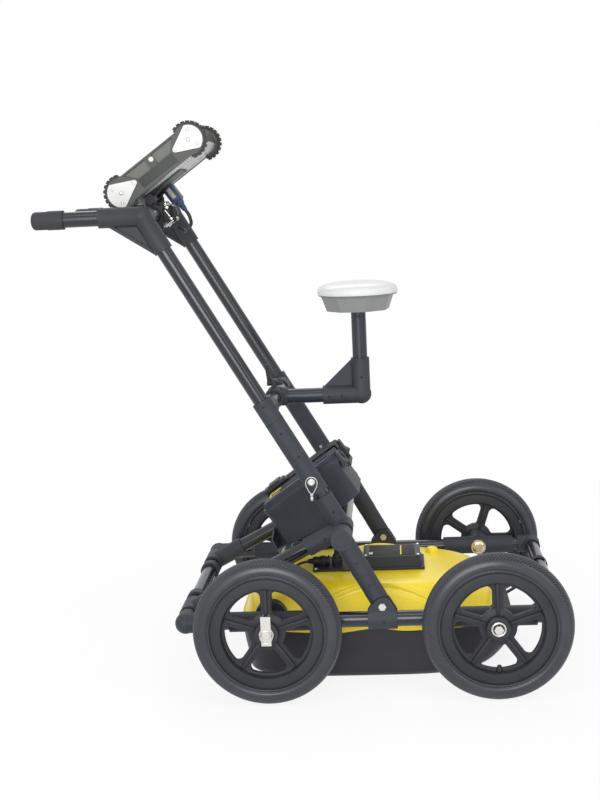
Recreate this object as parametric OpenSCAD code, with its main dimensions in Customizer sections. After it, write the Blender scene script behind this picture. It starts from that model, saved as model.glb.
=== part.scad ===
/* [Wheels] */
// Outer diameter of a tyre
tyre_d = 300; // [270:5:320]
// Width of a tyre
tyre_w = 46; // [40:1:50]
// Diameter at which the tyre sits on the rim
rim_d = 229; // [210:1:240]
// Width of the rim under the tyre
rim_w = 38; // [32:1:40]
// Distance between the front and rear axles
wheelbase = 459; // [430:1:500]
// Distance between the middle planes of a left and a right wheel
track = 676; // [670:2:720]
// Number of spokes in a rim
spoke_count = 5; // [4:1:7]
// Width of a spoke
spoke_w = 25; // [18:1:30]
// Diameter of a wheel hub
hub_d = 50; // [44:1:60]
// Diameter of the axle bolts
axle_d = 12; // [8:1:14]

/* [Chassis] */
// Outer diameter of the frame tubes
tube_d = 32; // [28:1:34]
// Wall of the frame tubes
tube_wall = 3; // [2:0.5:4]
// Outer diameter of the moulded tube fittings
fitting_d = 41; // [39:0.5:44]
// Distance between the middle lines of the side rails
rail_spread = 546; // [540:2:552]
// Distance from the rear axle back to the rear cross tube
rear_reach = 174; // [165:1:190]
// Distance from the front axle forward to the front cross tube
front_reach = 126; // [122:1:130]
// Length of the sleeve that carries an axle
axle_sleeve_l = 166; // [120:1:172]
// Length of a pivot bracket along its rail
bracket_l = 60; // [50:1:70]
// Distance from the rear axle forward to the leg pivots
pivot_x = 231; // [225:1:240]
// Height of the leg pivots above the rails' middle line
pivot_rise = 30; // [28:1:34]

/* [Uprights and handle] */
// Distance between the middle planes of the uprights
upright_spread = 382; // [370:2:392]
// Slope of the uprights from level, in degrees
upright_angle = 60; // [56:1:63]
// Distance from the rear axle forward to the lower cross tube
cross_x = 154; // [148:1:160]
// Height of the lower cross tube
cross_z = 321; // [315:1:335]
// Height of the handle tubes
handle_z = 981; // [950:5:1020]
// Distance along an upright from the lower cross tube to the mid cross tube
mid_t = 291; // [280:1:300]
// Distance from the bend to the end of a grip
handle_l = 226; // [210:2:250]
// Length of a grip
grip_l = 66; // [55:1:80]
// Outer diameter of a grip
grip_d = 39; // [37:1:44]
// Diameter of the quick-release pins
pin_d = 8; // [6:0.5:10]

/* [Receiver] */
// Distance from the mid cross tube forward to the mast
receiver_reach = 190; // [170:2:210]
// Height of the mast's end above its arm
mast_h = 184; // [150:2:200]
// Diameter of the receiver at its rim
receiver_d = 174; // [150:2:180]
// Height of the receiver's housing below the rim
receiver_h = 36; // [30:1:46]
// Height of the dome above the rim
dome_h = 21; // [16:1:28]

/* [Display] */
// Tilt of the screen from level, in degrees
display_tilt = 35; // [30:1:40]
// Width of the display across the cart, over its end castings
display_w = 250; // [230:2:260]
// Distance between the bumper centres along the slope
display_l = 178; // [170:1:186]
// Thickness of the display's housing
display_t = 54; // [50:1:56]
// Outer diameter of the toothed bumpers
bumper_d = 77; // [73:1:80]
// Number of teeth round a bumper
bumper_teeth = 22; // [18:1:32]

/* [Battery case] */
// Tilt of the case from level, in degrees
case_tilt = 35; // [32:1:37]
// Length of the case along its slope
case_l = 190; // [170:2:200]
// Width of the case across the cart
case_w = 190; // [170:2:210]
// Height of the case's base
case_base_h = 114; // [106:1:120]
// Height of the case's lid
case_lid_h = 12; // [11:1:16]
// Wall of the case
case_wall = 4; // [3:0.5:5]
// Thickness of the tray's sheet
tray_t = 2; // [1.5:0.5:3]

/* [Sensor] */
// Length of the sensor's shell
shell_l = 564; // [540:2:590]
// Width of the sensor's shell
shell_w = 412; // [390:2:420]
// Height of the top of the shell
shell_top_z = 191; // [180:1:200]
// Height of the joint between shell and skid tub
shell_joint_z = 101; // [90:1:110]
// Wall of the shell and of the tub
shell_wall = 4; // [3:0.5:6]
// Distance from the rear axle forward to the middle of the sensor
sensor_x = 202; // [195:1:215]
// Length of the control module
module_l = 125; // [110:1:140]
// Width of the control module
module_w = 97; // [85:1:110]
// Height of the control module
module_h = 30; // [24:1:36]

/* [Hidden] */
$fn = 64;
hull_fn = 32;
overrun = 1;
fit_gap = 0.15;
run_gap = 0.05;
clear_gap = 0.3;
seat = 2;

tube_black = [0.10, 0.10, 0.11];
fitting_black = [0.22, 0.23, 0.25];
rubber_black = [0.17, 0.18, 0.20];
steel = [0.75, 0.75, 0.73];
brass = [0.78, 0.66, 0.36];
shell_yellow = [0.95, 0.82, 0.10];
casting_olive = [0.33, 0.34, 0.31];

// Places that many pieces share
tube_r = tube_d / 2;
bore_d = tube_d + 2 * fit_gap;
axle_z = tyre_d / 2;
rail_y = rail_spread / 2;
wheel_y = track / 2;
upright_y = upright_spread / 2;
rear_x = -rear_reach;
front_x = wheelbase + front_reach;
axle_xs = [0, wheelbase];
pivot_z = axle_z + pivot_rise;
cross_p = [cross_x, 0, cross_z];
up_dir = [-cos(upright_angle), 0, sin(upright_angle)];
bend_t = (handle_z - cross_z) / sin(upright_angle);
mid_p = cross_p + mid_t * up_dir;
bend_p = cross_p + bend_t * up_dir;
rear_p = [rear_x, 0, axle_z];
arm_dir = unit(rear_p - cross_p);
rear_arm_l = norm(rear_p - cross_p);
grip_x = bend_p.x - handle_l;
x_mid = (wheelbase + tyre_d / 2 + grip_x) / 2;

// Wheel parts
hub_proud = 3;
hub_w = rim_w + 2 * hub_proud;
hub_face = wheel_y - hub_w / 2;
web_t = 10;
rib_t = 7;
rib_h = 22;
ring_depth = 23;
web_band = 5.5;
window_round = 13;
left_front_turn = -18;
bolt_head_t = 6;
bolt_head_d = 19;
washer_d = 35;
washer_t = 5;
nut_d = 21;
nut_t = 9;
dog_shaft_share = 0.333;
dog_w = 20;
dog_t = 3;
dog_drop = 22;
dog_rise = 38;
odo_d = 68;
odo_l = 24;
odo_cap = 4;
odo_cap_share = 0.65;
lip_r = 4;
lip_sunk = 1;

// Frame fittings
branch_step = 1;
branch_d = fitting_d - branch_step;
corner_step = 3;
corner_d = fitting_d + corner_step;
ball_flat_share = 0.97;
corner_l = 33;
barrel_step = 2;
barrel_d = fitting_d + barrel_step;
boss_step = 4;
leg_barrel_past = 22;
leg_barrel_short = 28;
leg_barrel_out = rail_y + leg_barrel_past;
leg_barrel_in = rail_y - leg_barrel_short;
eye_l = 75;
eye_r = 13;
eye_neck_w = 22;
leg_end = 12;
tongue_t = 16;
ear_t = 9;
ear_r = 19;
pivot_d = 8;
socket_up_l = 81;
socket_arm_l = 86;
hub_half = 25;
rear_tee_l = 80;
rear_tee_half = 36;
collar_y = 112;
collar_w = 24;
cap_t = 4;
cap_recess_d = 28;
cap_recess = 1.5;

// Handle parts
sleeve_gap = 11;
sleeve_from = socket_up_l + sleeve_gap;
sleeve_past = 24;
sleeve_to = mid_t + sleeve_past;
mid_branch = 62;
pin_t = 120;
stub_to = 182;
stub_gap = 8;
elbow_back_l = 88;
elbow_down_l = 82;
elbow_side_l = 46;
elbow_side_d = branch_d - branch_step;
gusset_t = 7;
gusset_inset = 19;
gusset_rim = 6;
gusset_rim_t = 15;
grip_step = 1;
grip_edge = 9;
grip_end = 6;
pin_head_d = 14;
pin_head_t = 6;
pin_past = 2;
wire_d = 2;
wire_ball_d = wire_d + 2 * fit_gap;
loop_w = 22;
lanyard_l = 26;
crimp_d = 6;
crimp_l = 15;

// Receiver parts
mount_tee_half = 32;
mount_stem = 28;
receiver_elbow_back = 84;
receiver_elbow_up = 80;
receiver_low_share = 0.79;
receiver_top_share = 0.94;
receiver_sides = 8;
receiver_turn = 13.5;
receiver_floor = 6;
receiver_hollow_share = 0.66;
dome_rim = 6;
dome_steps = 12;
dome_wide_share = 0.62;
dome_high_share = 0.85;
lever_d = 11;
lever_l = 42;
lever_lean = 5;
clamp_screw_d = 9;
clamp_screw_l = 18;
clamp_ear_t = 10;
clamp_rise = 30;

// Display parts, in a frame at the tilt axis whose X runs up the slope
tilt_back = 2;
tilt_rise = 33;
tilt_p = [bend_p.x - tilt_back, 0, handle_z + tilt_rise];
display_ahead = 58;
display_rise = 14.5;
display_wall = 5;
end_r = 31;
yoke_t = 4;
yoke_ear_r = 10;
yoke_ear_t = 8;
yoke_ear_y = 40;
yoke_l = 96;
yoke_w = 104;
clamp_half_w = 20;
clamp_half_y = 52;
clamp_top = 19;
clamp_foot = 28;
clamp_mid_y = 30;
clamp_mid_top = 27;
clamp_bevel = 4;
clamp_slit = 2;
clamp_bolt_y = 18;
clamp_bolt_z = 21.5;
clamp_bolt_d = 6;
tilt_pin_d = 8;
tilt_pin_past = 2;
knob_d = 24;
knob_t = 14;
knob_lobes = 6;
knob_notch_d = 8;
knob_notch_out = 2;
casting_t = 15;
casting_step = 1;
field_depth = 4;
field_rim = 3;
field_out_share = 0.36;
field_in_share = 0.25;
field_boss_half = 8;
cover_t = 1;
cover_rim = 4;
plate_t = 2;
plate_rim = 3.4;
plate_tip_r = 6;
plate_tip_reach = 35;
bumper_w = 19;
tooth_share = 0.68;
tooth_h = 3;
screen_l = 120;
screen_w = 178;
screen_t = 3;
screen_ledge = 6;
button_d = 15;
button_stem_d = 7;
button_travel = 1.5;
button_y = 96;
button_inset = 15;
plug_y = 84;
plug_x = 26;
plug_l = 50;
plug_w = 48;
plug_t = 22;
plug_taper = 12;
plug_neck_d = 13;
plug_neck_l = 16;
display_cable_d = 8;

// Battery case, in a frame at the lower cross tube whose X runs up the slope
case_wedge_angle = 10;
case_n0 = -2;
tray_n = case_n0 - fit_gap - tray_t;
lap_n = tube_r + clear_gap;
front_n = lap_n + tray_t + fit_gap;
case_u0 = -126;
case_u1 = case_u0 + case_l;
case_round = 20;
case_rim_h = 9;
case_rim_t = 7;
case_ledge = 11;
rim_u0 = case_u0 - case_ledge;
deep_u0 = -149;
deep_u1 = -25;
front_u0 = -45;
case_draft = 3;
case_floor_t = 2;
body_drop = 24;
case_seam = case_n0 + case_base_h;
body_n = case_seam - body_drop;
case_top = case_seam + case_lid_h;
lid_n = case_seam + clear_gap;
hinge_d = 9;
hinge_l = 40;
hinge_out = 2.5;
hinge_y_share = 0.28;
latch_w = 26;
latch_t = 6;
latch_h = 36;
latch_y_share = 0.34;
case_handle_w = 78;
case_handle_t = 9;
case_handle_drop = 30;
handle_lug_w = 6;
handle_pin_d = 5;
strap_w = 36;
strap_t = 3;
strap_y = 8;
buckle_h = 14;
buckle_l = 52;
buckle_slope = 9;
lid_ridge = 1.5;
lid_ridge_h = 3;
lid_ridge_n = 5.5;
lid_rib_h = 2;
lid_rib_w = 7;
lid_ribs = 4;
battery_l = 100;
battery_w = 128;
battery_h = 58;
battery_u = -88;
tray_u0 = -167;
tray_w = 160;
tray_lap = 30;
lip_w = 170;
lip_down = 10;
lip_rise = 26;
lip_top = 45;
lip_lean = 13;
stay_in = 21;
stay_w = 16;
stay_t = 3;
tray_hole_u = -60;
tray_hole_y = -22;
tray_hole_d = 10;

// Sensor parts
shell_points = 56;
shell_power_share = 0.5;
shell_arch_share = 1.5;
shell_long_shares = [1, 1, 0.975, 0.925, 0.87, 0.7, 0.48];
shell_wide_shares = [1, 1, 0.965, 0.855, 0.785, 0.66, 0.5];
shell_end_shares = [0, 0.1, 0.16, 0.58, 0.68, 0.87, 1];
shell_side_shares = [0, 0.1, 0.16, 0.9, 0.98, 0.99, 1];
module_x = 252;
module_y = -15;
module_round = 6;
module_foot = 3;
module_foot_share = 0.66;
module_foot_h_share = 0.5;
plug_plate_l = 108;
plug_plate_w = 108;
plug_plate_t = 5;
plug_plate_x = 132;
plugs_x = 112;
plug_side = 15.5;
plug_ahead = 19;
plug_body_d = 19;
plug_body_l = 34;
plug_tail_d = 12;
plug_tail_l = 11;
tub_floor_t = 6;
tub_nose = 24;
tub_high_shares = [0, 0.12, 0.5, 0.85, 1];
tub_ahead_shares = [-0.5, 0, 0.5, 0.5, 0.5];
tub_long_shares = [-1, -0.5, 0.33, 0.5, 0.5];
tub_wide_shares = [-0.5, -0.16, -0.12, 0, 0];
antenna_l = 300;
antenna_w = 240;
antenna_h = 80;
boss_d = 26;
boss_top_d = 18;
boss_h = 15;
boss_x = 343;
boss_y = 79;
boss_sunk = 8;
pull_strap_w = 22;
pull_strap_t = 5;
pull_strap_y = 90;
pull_share = 0.85;
sensor_cable_d = 6;
cord_sides = 8;
cord_turn = [0.3, 0.9, 0.31];

// Ends of the cords, and their routes as steps from those ends
function in_plane(p, angle, u, n) = p + [u * cos(angle) - n * sin(angle), 0, u * sin(angle) + n * cos(angle)];
plug_plate_top = shell_top_z + fit_gap + plug_plate_t;
lie_plug_p = [plugs_x, module_y - plug_side, plug_plate_top + plug_body_d / 2 + fit_gap];
stand_plug_p = [plugs_x + plug_ahead, module_y - plug_side, plug_plate_top + fit_gap];
lie_end = lie_plug_p - [plug_body_l + fit_gap, 0, 0];
stand_end = stand_plug_p + [0, 0, plug_body_l + fit_gap];
odo_end = [0, -rail_y + fitting_d / 2 + fit_gap + odo_l / 2, axle_z + odo_d / 2 + clear_gap];
case_end = in_plane(cross_p, case_tilt - case_wedge_angle, tray_hole_u, tray_n) + [0, tray_hole_y, 0];
plug_end = in_plane(tilt_p, display_tilt, plug_x, display_rise - 2 * fit_gap - plug_l - plug_neck_l)
    + [0, plug_y, 0];
elbow_end = bend_p - (elbow_down_l / 2) * up_dir + [0, upright_y - branch_d / 2 - clear_gap, 0];
odometer_steps = [[0, 0, 0], [-6, 0, 0], [-13, -4, 0], [-24, -12, 0], [-36, -32, -1], [-44, -58, -2],
    [-52, -86, -3], [-60, -116, -3]];
odometer_back = [[12, 62, 17], [6, 34, 16], [1, 12, 14], [0, 3, 10], [0, 0, 5], [0, 0, 0]];
battery_steps = [[0, 0, 0], [0, 0, 10], [-2, 1, 20], [-8, 2, 30], [-16, 4, 40]];
battery_back = [[10, -2, -22], [6, 0, -11], [0, 0, 0]];
display_steps = [[0, 0, 0], [6, 0, -9], [9, 3, -20], [8, 12, -32]];
display_back = [[20, -44, -6], [13, -28, -4], [5, -14, -1], [0, -6, 0], [0, 0, 0]];
function route(a, steps, b, back) = concat([for (d = steps) a + d], [for (d = back) b + d]);
odometer_route = route(lie_end, odometer_steps, odo_end, odometer_back);
battery_route = route(stand_end, battery_steps, case_end, battery_back);
display_route = route(plug_end, display_steps, elbow_end, display_back);

function unit(v) = v / norm(v);
function across(p, y) = [p.x, y, p.z];
function on_upright(t, y) = across(cross_p + t * up_dir, y);
function on_arm(t, y) = across(cross_p + t * arm_dir, y);

// Sets the origin below the middle of the cart
module set_down() {
    translate([-x_mid, 0, 0]) children();
}

// Turns Z to run from p towards q, with the children starting at p
module along(p, q) {
    d = q - p;
    translate(p)
        rotate([0, acos(d.z / norm(d)), atan2(d.y, d.x)])
            children();
}

module rod(p, q, d) {
    along(p, q) cylinder(d = d, h = norm(q - p));
}

module tube_between(p, q) {
    difference() {
        rod(p, q, tube_d);
        step = overrun * unit(q - p);
        rod(p - step, q + step, tube_d - 2 * tube_wall);
    }
}

// A bore for a tube, open at q
module tube_bore(p, q) {
    rod(p, q + overrun * unit(q - p), bore_d);
}

// A rod that runs across the cart between two places along Y
module cross_rod(p, y0, y1, d) {
    translate([p.x, y0, p.z])
        rotate([-90, 0, 0])
            cylinder(d = d, h = y1 - y0);
}

module ball(d) {
    intersection() {
        sphere(d = d);
        cylinder(d = 2 * d, h = d * ball_flat_share, center = true);
    }
}

module hex_rod(p, y0, y1, d) {
    translate([p.x, y0, p.z])
        rotate([-90, 0, 0])
            cylinder(d = d, h = y1 - y0, $fn = 6);
}

// Mirrors the right-hand side's piece to the left
module on_side(s) {
    mirror([0, s < 0 ? 0 : 1, 0]) children();
}

module both_sides() {
    for (s = [-1, 1]) on_side(s) children();
}

module in_case() {
    translate(cross_p) rotate([0, -case_tilt, 0]) children();
}

// The tray and the case's floor lie a little flatter than its lid
module in_tray() {
    in_case() rotate([0, case_wedge_angle, 0]) children();
}

module in_display() {
    translate(tilt_p) rotate([0, -display_tilt, 0]) children();
}

// A plate in the XZ plane, its thickness across the cart from y0 to y1
module side_plate(y0, y1) {
    translate([0, y1, 0])
        rotate([90, 0, 0])
            linear_extrude(y1 - y0) children();
}

module round_box(l, w, h, r) {
    hull()
        for (x = [-1, 1], y = [-1, 1])
            translate([x * (l / 2 - r), y * (w / 2 - r), 0])
                cylinder(r = r, h = h, $fn = hull_fn);
}

// Tube frame

module side_rails() {
    color(tube_black) set_down() both_sides() difference() {
        tube_between([rear_x + tube_r + seat, -rail_y, axle_z],
            [front_x - tube_r - seat, -rail_y, axle_z]);
        for (x = axle_xs)
            cross_rod([x, 0, axle_z], -rail_y - tube_d, -rail_y + tube_d, axle_d + 2 * fit_gap);
    }
}

module cross_tubes() {
    end_y = rail_y - tube_r - seat;
    upright_end_y = upright_y - tube_r - seat;
    color(tube_black) set_down() {
        for (x = [rear_x, front_x])
            tube_between([x, -end_y, axle_z], [x, end_y, axle_z]);
        cap_y = leg_barrel_out - 2 * seat;
        tube_between(across(cross_p, -cap_y), across(cross_p, cap_y));
        for (p = [mid_p, bend_p])
            tube_between(across(p, -upright_end_y), across(p, upright_end_y));
    }
}

module corner_elbow(x, inward) {
    p = [x, -rail_y, axle_z];
    rail_end = p + [inward * corner_l, 0, 0];
    tube_end = p + [0, corner_l, 0];
    difference() {
        union() {
            translate(p) ball(corner_d);
            rod(p, rail_end, fitting_d);
            rod(p, tube_end, branch_d);
        }
        tube_bore(p + [inward * (tube_r + seat), 0, 0], rail_end);
        tube_bore(p + [0, tube_r + seat, 0], tube_end);
    }
}

module corner_elbows() {
    color(fitting_black) set_down() both_sides() {
        corner_elbow(rear_x, 1);
        corner_elbow(front_x, -1);
    }
}

module axle_sleeve(x) {
    p = [x, 0, axle_z];
    half = [axle_sleeve_l / 2, 0, 0];
    difference() {
        union() {
            rod(across(p - half, -rail_y), across(p + half, -rail_y), fitting_d);
            cross_rod(p, -hub_face + clear_gap, -rail_y, hub_d - boss_step);
        }
        tube_bore(across(p - half, -rail_y) - [overrun, 0, 0], across(p + half, -rail_y));
        cross_rod(p, -hub_face - overrun, -rail_y + fitting_d, axle_d + 2 * fit_gap);
    }
}

module axle_sleeves() {
    color(fitting_black) set_down() both_sides() for (x = axle_xs) axle_sleeve(x);
}

// Bolt with its head outside the wheel, and a washer and nut inside the rail
module axle_bolt(x) {
    p = [x, 0, axle_z];
    face_y = -wheel_y - hub_w / 2 - clear_gap;
    back_y = -rail_y + fitting_d / 2;
    color(steel) {
        cross_rod(p, face_y, back_y + washer_t + nut_t + seat, axle_d);
        hex_rod(p, face_y - bolt_head_t, face_y, bolt_head_d);
    }
    color(brass) difference() {
        cross_rod(p, back_y, back_y + washer_t, washer_d);
        cross_rod(p, back_y - overrun, back_y + washer_t + overrun, axle_d + 2 * fit_gap);
    }
    color(steel) difference() {
        hex_rod(p, back_y + washer_t, back_y + washer_t + nut_t, nut_d);
        cross_rod(p, back_y, back_y + washer_t + nut_t + overrun, axle_d + 2 * fit_gap);
    }
}

module pivot_bolt() {
    p = [pivot_x, 0, pivot_z];
    half = tongue_t / 2 + fit_gap + ear_t;
    head = pivot_d / 2;
    color(steel) {
        cross_rod(p, -rail_y - half, -rail_y + half, pivot_d);
        hex_rod(p, -rail_y - half - head, -rail_y - half, 2 * pivot_d);
        hex_rod(p, -rail_y + half, -rail_y + half + head, 2 * pivot_d);
    }
}

// Bolt through the display's clamp, with a head at the back and a nut in front
module clamp_bolt(y, z) {
    p = [bend_p.x, y, handle_z + z];
    half = [clamp_half_w, 0, 0];
    head = [clamp_bolt_d / 2, 0, 0];
    color(steel) {
        rod(p - half, p + half + 2 * head, clamp_bolt_d);
        along(p - half - head, p - half) cylinder(d = 2 * clamp_bolt_d, h = head.x, $fn = 6);
        along(p + half, p + half + head) cylinder(d = 2 * clamp_bolt_d, h = head.x, $fn = 6);
    }
}

module frame_bolts() {
    set_down() {
        both_sides() {
            axle_bolt(wheelbase);
            pivot_bolt();
        }
        on_side(1) axle_bolt(0);
        for (y = [-1, 1], z = [-1, 1]) clamp_bolt(y * clamp_bolt_y, z * clamp_bolt_z);
    }
}

// Sleeve on the rail with two ears that hold the leg's eye
module pivot_brackets() {
    p = [pivot_x, 0, pivot_z];
    half = [bracket_l / 2, 0, 0];
    rail_p = [pivot_x, -rail_y, axle_z];
    slot = tongue_t / 2 + fit_gap;
    foot = tube_r + fit_gap;
    color(fitting_black) set_down() both_sides() difference() {
        union() {
            rod(rail_p - half, rail_p + half, barrel_d);
            side_plate(-rail_y - slot - ear_t, -rail_y + slot + ear_t) hull() {
                translate([pivot_x, pivot_z]) circle(r = ear_r, $fn = hull_fn);
                translate([pivot_x - bracket_l / 2, axle_z]) square([bracket_l, foot]);
            }
        }
        tube_bore(rail_p - half - [overrun, 0, 0], rail_p + half);
        cross_rod(p, -rail_y - barrel_d, -rail_y + barrel_d, pivot_d + 2 * fit_gap);
        translate([pivot_x - bracket_l, -rail_y - slot, axle_z])
            cube([2 * bracket_l, 2 * slot, 2 * bracket_l]);
    }
}

// Tee on the lower cross tube, closed by a round cap, and the eye below it
module leg_fittings() {
    pivot = [pivot_x, -rail_y, pivot_z];
    top = across(cross_p, -rail_y);
    leg_dir = unit(pivot - top);
    seam = pivot - eye_l * leg_dir;
    color(fitting_black) set_down() both_sides() {
        difference() {
            union() {
                cross_rod(cross_p, -leg_barrel_out, -leg_barrel_in, barrel_d);
                rod(top, seam, fitting_d);
            }
            cross_rod(cross_p, -leg_barrel_out + cap_t, -leg_barrel_in + overrun, bore_d);
            cross_rod(cross_p, -leg_barrel_out - overrun, -leg_barrel_out + cap_recess, cap_recess_d);
            tube_bore(top + (tube_r + seat) * leg_dir, seam);
        }
        difference() {
            union() {
                difference() {
                    rod(seam, pivot - leg_end * leg_dir, branch_d);
                    cross_rod(pivot, -rail_y - branch_d, -rail_y + branch_d, 2 * (ear_r + seat));
                }
                intersection() {
                    rod(seam, pivot + branch_d * leg_dir, branch_d);
                    side_plate(-rail_y - tongue_t / 2, -rail_y + tongue_t / 2) {
                        translate([pivot_x, pivot_z]) circle(r = eye_r);
                        translate([pivot_x, pivot_z]) rotate(atan2(-leg_dir.z, -leg_dir.x))
                            translate([0, -eye_neck_w / 2]) square([eye_l, eye_neck_w]);
                    }
                }
            }
            cross_rod(pivot, -rail_y - branch_d, -rail_y + branch_d, pivot_d + 2 * fit_gap);
            tube_bore(pivot - (eye_l / 2) * leg_dir, seam);
        }
    }
}

module upright_sockets() {
    p = across(cross_p, -upright_y);
    color(fitting_black) set_down() both_sides() difference() {
        union() {
            cross_rod(cross_p, -upright_y - hub_half, -upright_y + hub_half, barrel_d);
            rod(p, on_upright(socket_up_l, -upright_y), fitting_d);
            rod(p, on_arm(socket_arm_l, -upright_y), branch_d);
        }
        cross_rod(cross_p, -upright_y - hub_half - overrun, -upright_y + hub_half + overrun, bore_d);
        tube_bore(on_upright(tube_r + seat, -upright_y), on_upright(socket_up_l, -upright_y));
        tube_bore(on_arm(tube_r + seat, -upright_y), on_arm(socket_arm_l, -upright_y));
    }
}

module rear_arms() {
    color(tube_black) set_down() both_sides()
        tube_between(on_arm(tube_r + 2 * seat, -upright_y),
            on_arm(rear_arm_l - tube_r - 2 * seat, -upright_y));
}

// Tees that carry the arms on the rear cross tube, and a loose collar beside each
module rear_fittings() {
    p = across(rear_p, -upright_y);
    stem = on_arm(rear_arm_l - rear_tee_l, -upright_y);
    color(fitting_black) set_down() both_sides() {
        difference() {
            union() {
                cross_rod(rear_p, -upright_y - rear_tee_half, -upright_y + rear_tee_half, barrel_d);
                rod(p, stem, fitting_d);
            }
            cross_rod(rear_p, -rail_y, -upright_y + rear_tee_half + overrun, bore_d);
            tube_bore(on_arm(rear_arm_l - tube_r - seat, -upright_y), stem);
        }
        difference() {
            cross_rod(rear_p, -collar_y - collar_w / 2, -collar_y + collar_w / 2, barrel_d);
            cross_rod(rear_p, -collar_y - collar_w, -collar_y + collar_w, bore_d);
        }
    }
}

// Uprights and handle

module upright_tubes() {
    color(tube_black) set_down() both_sides() {
        difference() {
            tube_between(on_upright(tube_r + 2 * seat, -upright_y), on_upright(stub_to, -upright_y));
            cross_rod(on_upright(pin_t, 0), -upright_y - tube_d, -upright_y + tube_d, pin_d + 2 * run_gap);
        }
        tube_between(on_upright(stub_to + stub_gap, -upright_y),
            on_upright(bend_t - tube_r - 2 * seat, -upright_y));
        pivot = [pivot_x, -rail_y, pivot_z];
        top = across(cross_p, -rail_y);
        leg_dir = unit(pivot - top);
        tube_between(top + (tube_r + 2 * seat) * leg_dir, pivot - (eye_l / 2 + seat) * leg_dir);
    }
}

module handle_sleeves() {
    p = on_upright(mid_t, -upright_y);
    branch_y = -upright_y + mid_branch;
    low = on_upright(sleeve_from, -upright_y);
    high = on_upright(sleeve_to, -upright_y);
    color(fitting_black) set_down() both_sides() difference() {
        union() {
            rod(low, high, fitting_d);
            cross_rod(p, -upright_y, branch_y, branch_d);
        }
        tube_bore(low - overrun * up_dir, high);
        cross_rod(p, -upright_y + tube_r + seat, branch_y + overrun, bore_d);
        cross_rod(on_upright(pin_t, 0), -upright_y - fitting_d, -upright_y + fitting_d, pin_d + 2 * run_gap);
    }
}

// Three-way corner with a ribbed web under the bend
module handle_elbows() {
    p = across(bend_p, -upright_y);
    back = p - [elbow_back_l, 0, 0];
    low = p - elbow_down_l * up_dir;
    dir2 = [up_dir.x, up_dir.z];
    side2 = [up_dir.z, -up_dir.x];
    sunk = fitting_d / 2 - seat;
    back2 = [back.x + gusset_inset, back.z - sunk];
    low2 = [low.x, low.z] + seat * dir2 - sunk * side2;
    rim = gusset_rim * unit([low2.y - back2.y, back2.x - low2.x]);
    color(fitting_black) set_down() both_sides() difference() {
        union() {
            translate(p) ball(corner_d);
            rod(p, back, fitting_d);
            rod(p, low, branch_d);
            cross_rod(p, -upright_y, -upright_y + elbow_side_l, elbow_side_d);
            side_plate(-upright_y - gusset_t / 2, -upright_y + gusset_t / 2)
                polygon([[p.x, p.z], back2, low2]);
            side_plate(-upright_y - gusset_rim_t / 2, -upright_y + gusset_rim_t / 2)
                polygon([back2, low2, low2 - rim, back2 - rim]);
        }
        tube_bore(p - [tube_r + seat, 0, 0], back);
        tube_bore(p - (tube_r + seat) * up_dir, low);
        cross_rod(p, -upright_y + tube_r + seat, -upright_y + elbow_side_l + overrun, bore_d);
    }
}

module handle_tubes() {
    p = across(bend_p, -upright_y);
    color(tube_black) set_down() both_sides()
        tube_between([grip_x + grip_end, -upright_y, handle_z], p - [tube_r + 2 * seat, 0, 0]);
}

// Rubber sleeve with a rounded end and a raised band at its mouth
module grips() {
    r = grip_d / 2;
    low_r = r - grip_step;
    color(rubber_black) set_down() both_sides()
        translate([grip_x, -upright_y, handle_z]) rotate([0, 90, 0]) difference() {
            rotate_extrude() {
                translate([0, grip_edge]) square([low_r, grip_l - grip_edge]);
                translate([0, grip_l / 2]) square([r, grip_l / 2]);
                square([low_r - grip_edge, grip_l / 2]);
                translate([low_r - grip_edge, grip_edge]) intersection() {
                    circle(r = grip_edge);
                    translate([0, -grip_edge]) square(2 * grip_edge);
                }
            }
            translate([0, 0, grip_end - fit_gap]) cylinder(d = bore_d, h = grip_l);
        }
}

// Bent sheet under the battery case, lapped over the lower cross tube, with a stay between the arms
module battery_tray() {
    half = tray_w / 2;
    riser_u = -lap_n - fit_gap - tray_t;
    riser_n = (lap_n + tray_t / 2 + (riser_u + tray_t / 2) * sin(case_wedge_angle)) / cos(case_wedge_angle);
    stay_y = upright_y - tube_r - clear_gap;
    color([0.36, 0.40, 0.46]) set_down() difference() {
        union() {
            in_tray() {
                translate([tray_u0, -half, tray_n]) cube([riser_u + tray_t - tray_u0, 2 * half, tray_t]);
                translate([riser_u, -half, tray_n]) cube([tray_t, 2 * half, riser_n - tray_n]);
                side_plate(-lip_w / 2, lip_w / 2)
                    polygon([[tray_u0, tray_n - lip_down], [tray_u0 + tray_t, tray_n - lip_down],
                        [tray_u0 + tray_t, tray_n + lip_rise],
                        [tray_u0 + tray_t + lip_lean, tray_n + lip_top - tray_t],
                        [tray_u0 + lip_lean, tray_n + lip_top], [tray_u0, tray_n + lip_rise + tray_t]]);
                translate([tray_u0 + stay_in, -stay_y, tray_n - stay_t])
                    cube([stay_w, 2 * stay_y, stay_t + overrun]);
            }
            in_case() translate([riser_u + tray_t, -half, lap_n]) cube([tray_lap, 2 * half, tray_t]);
        }
        in_tray() translate([tray_hole_u, tray_hole_y, tray_n - tray_t])
            cylinder(d = tray_hole_d, h = 3 * tray_t);
    }
}

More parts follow.
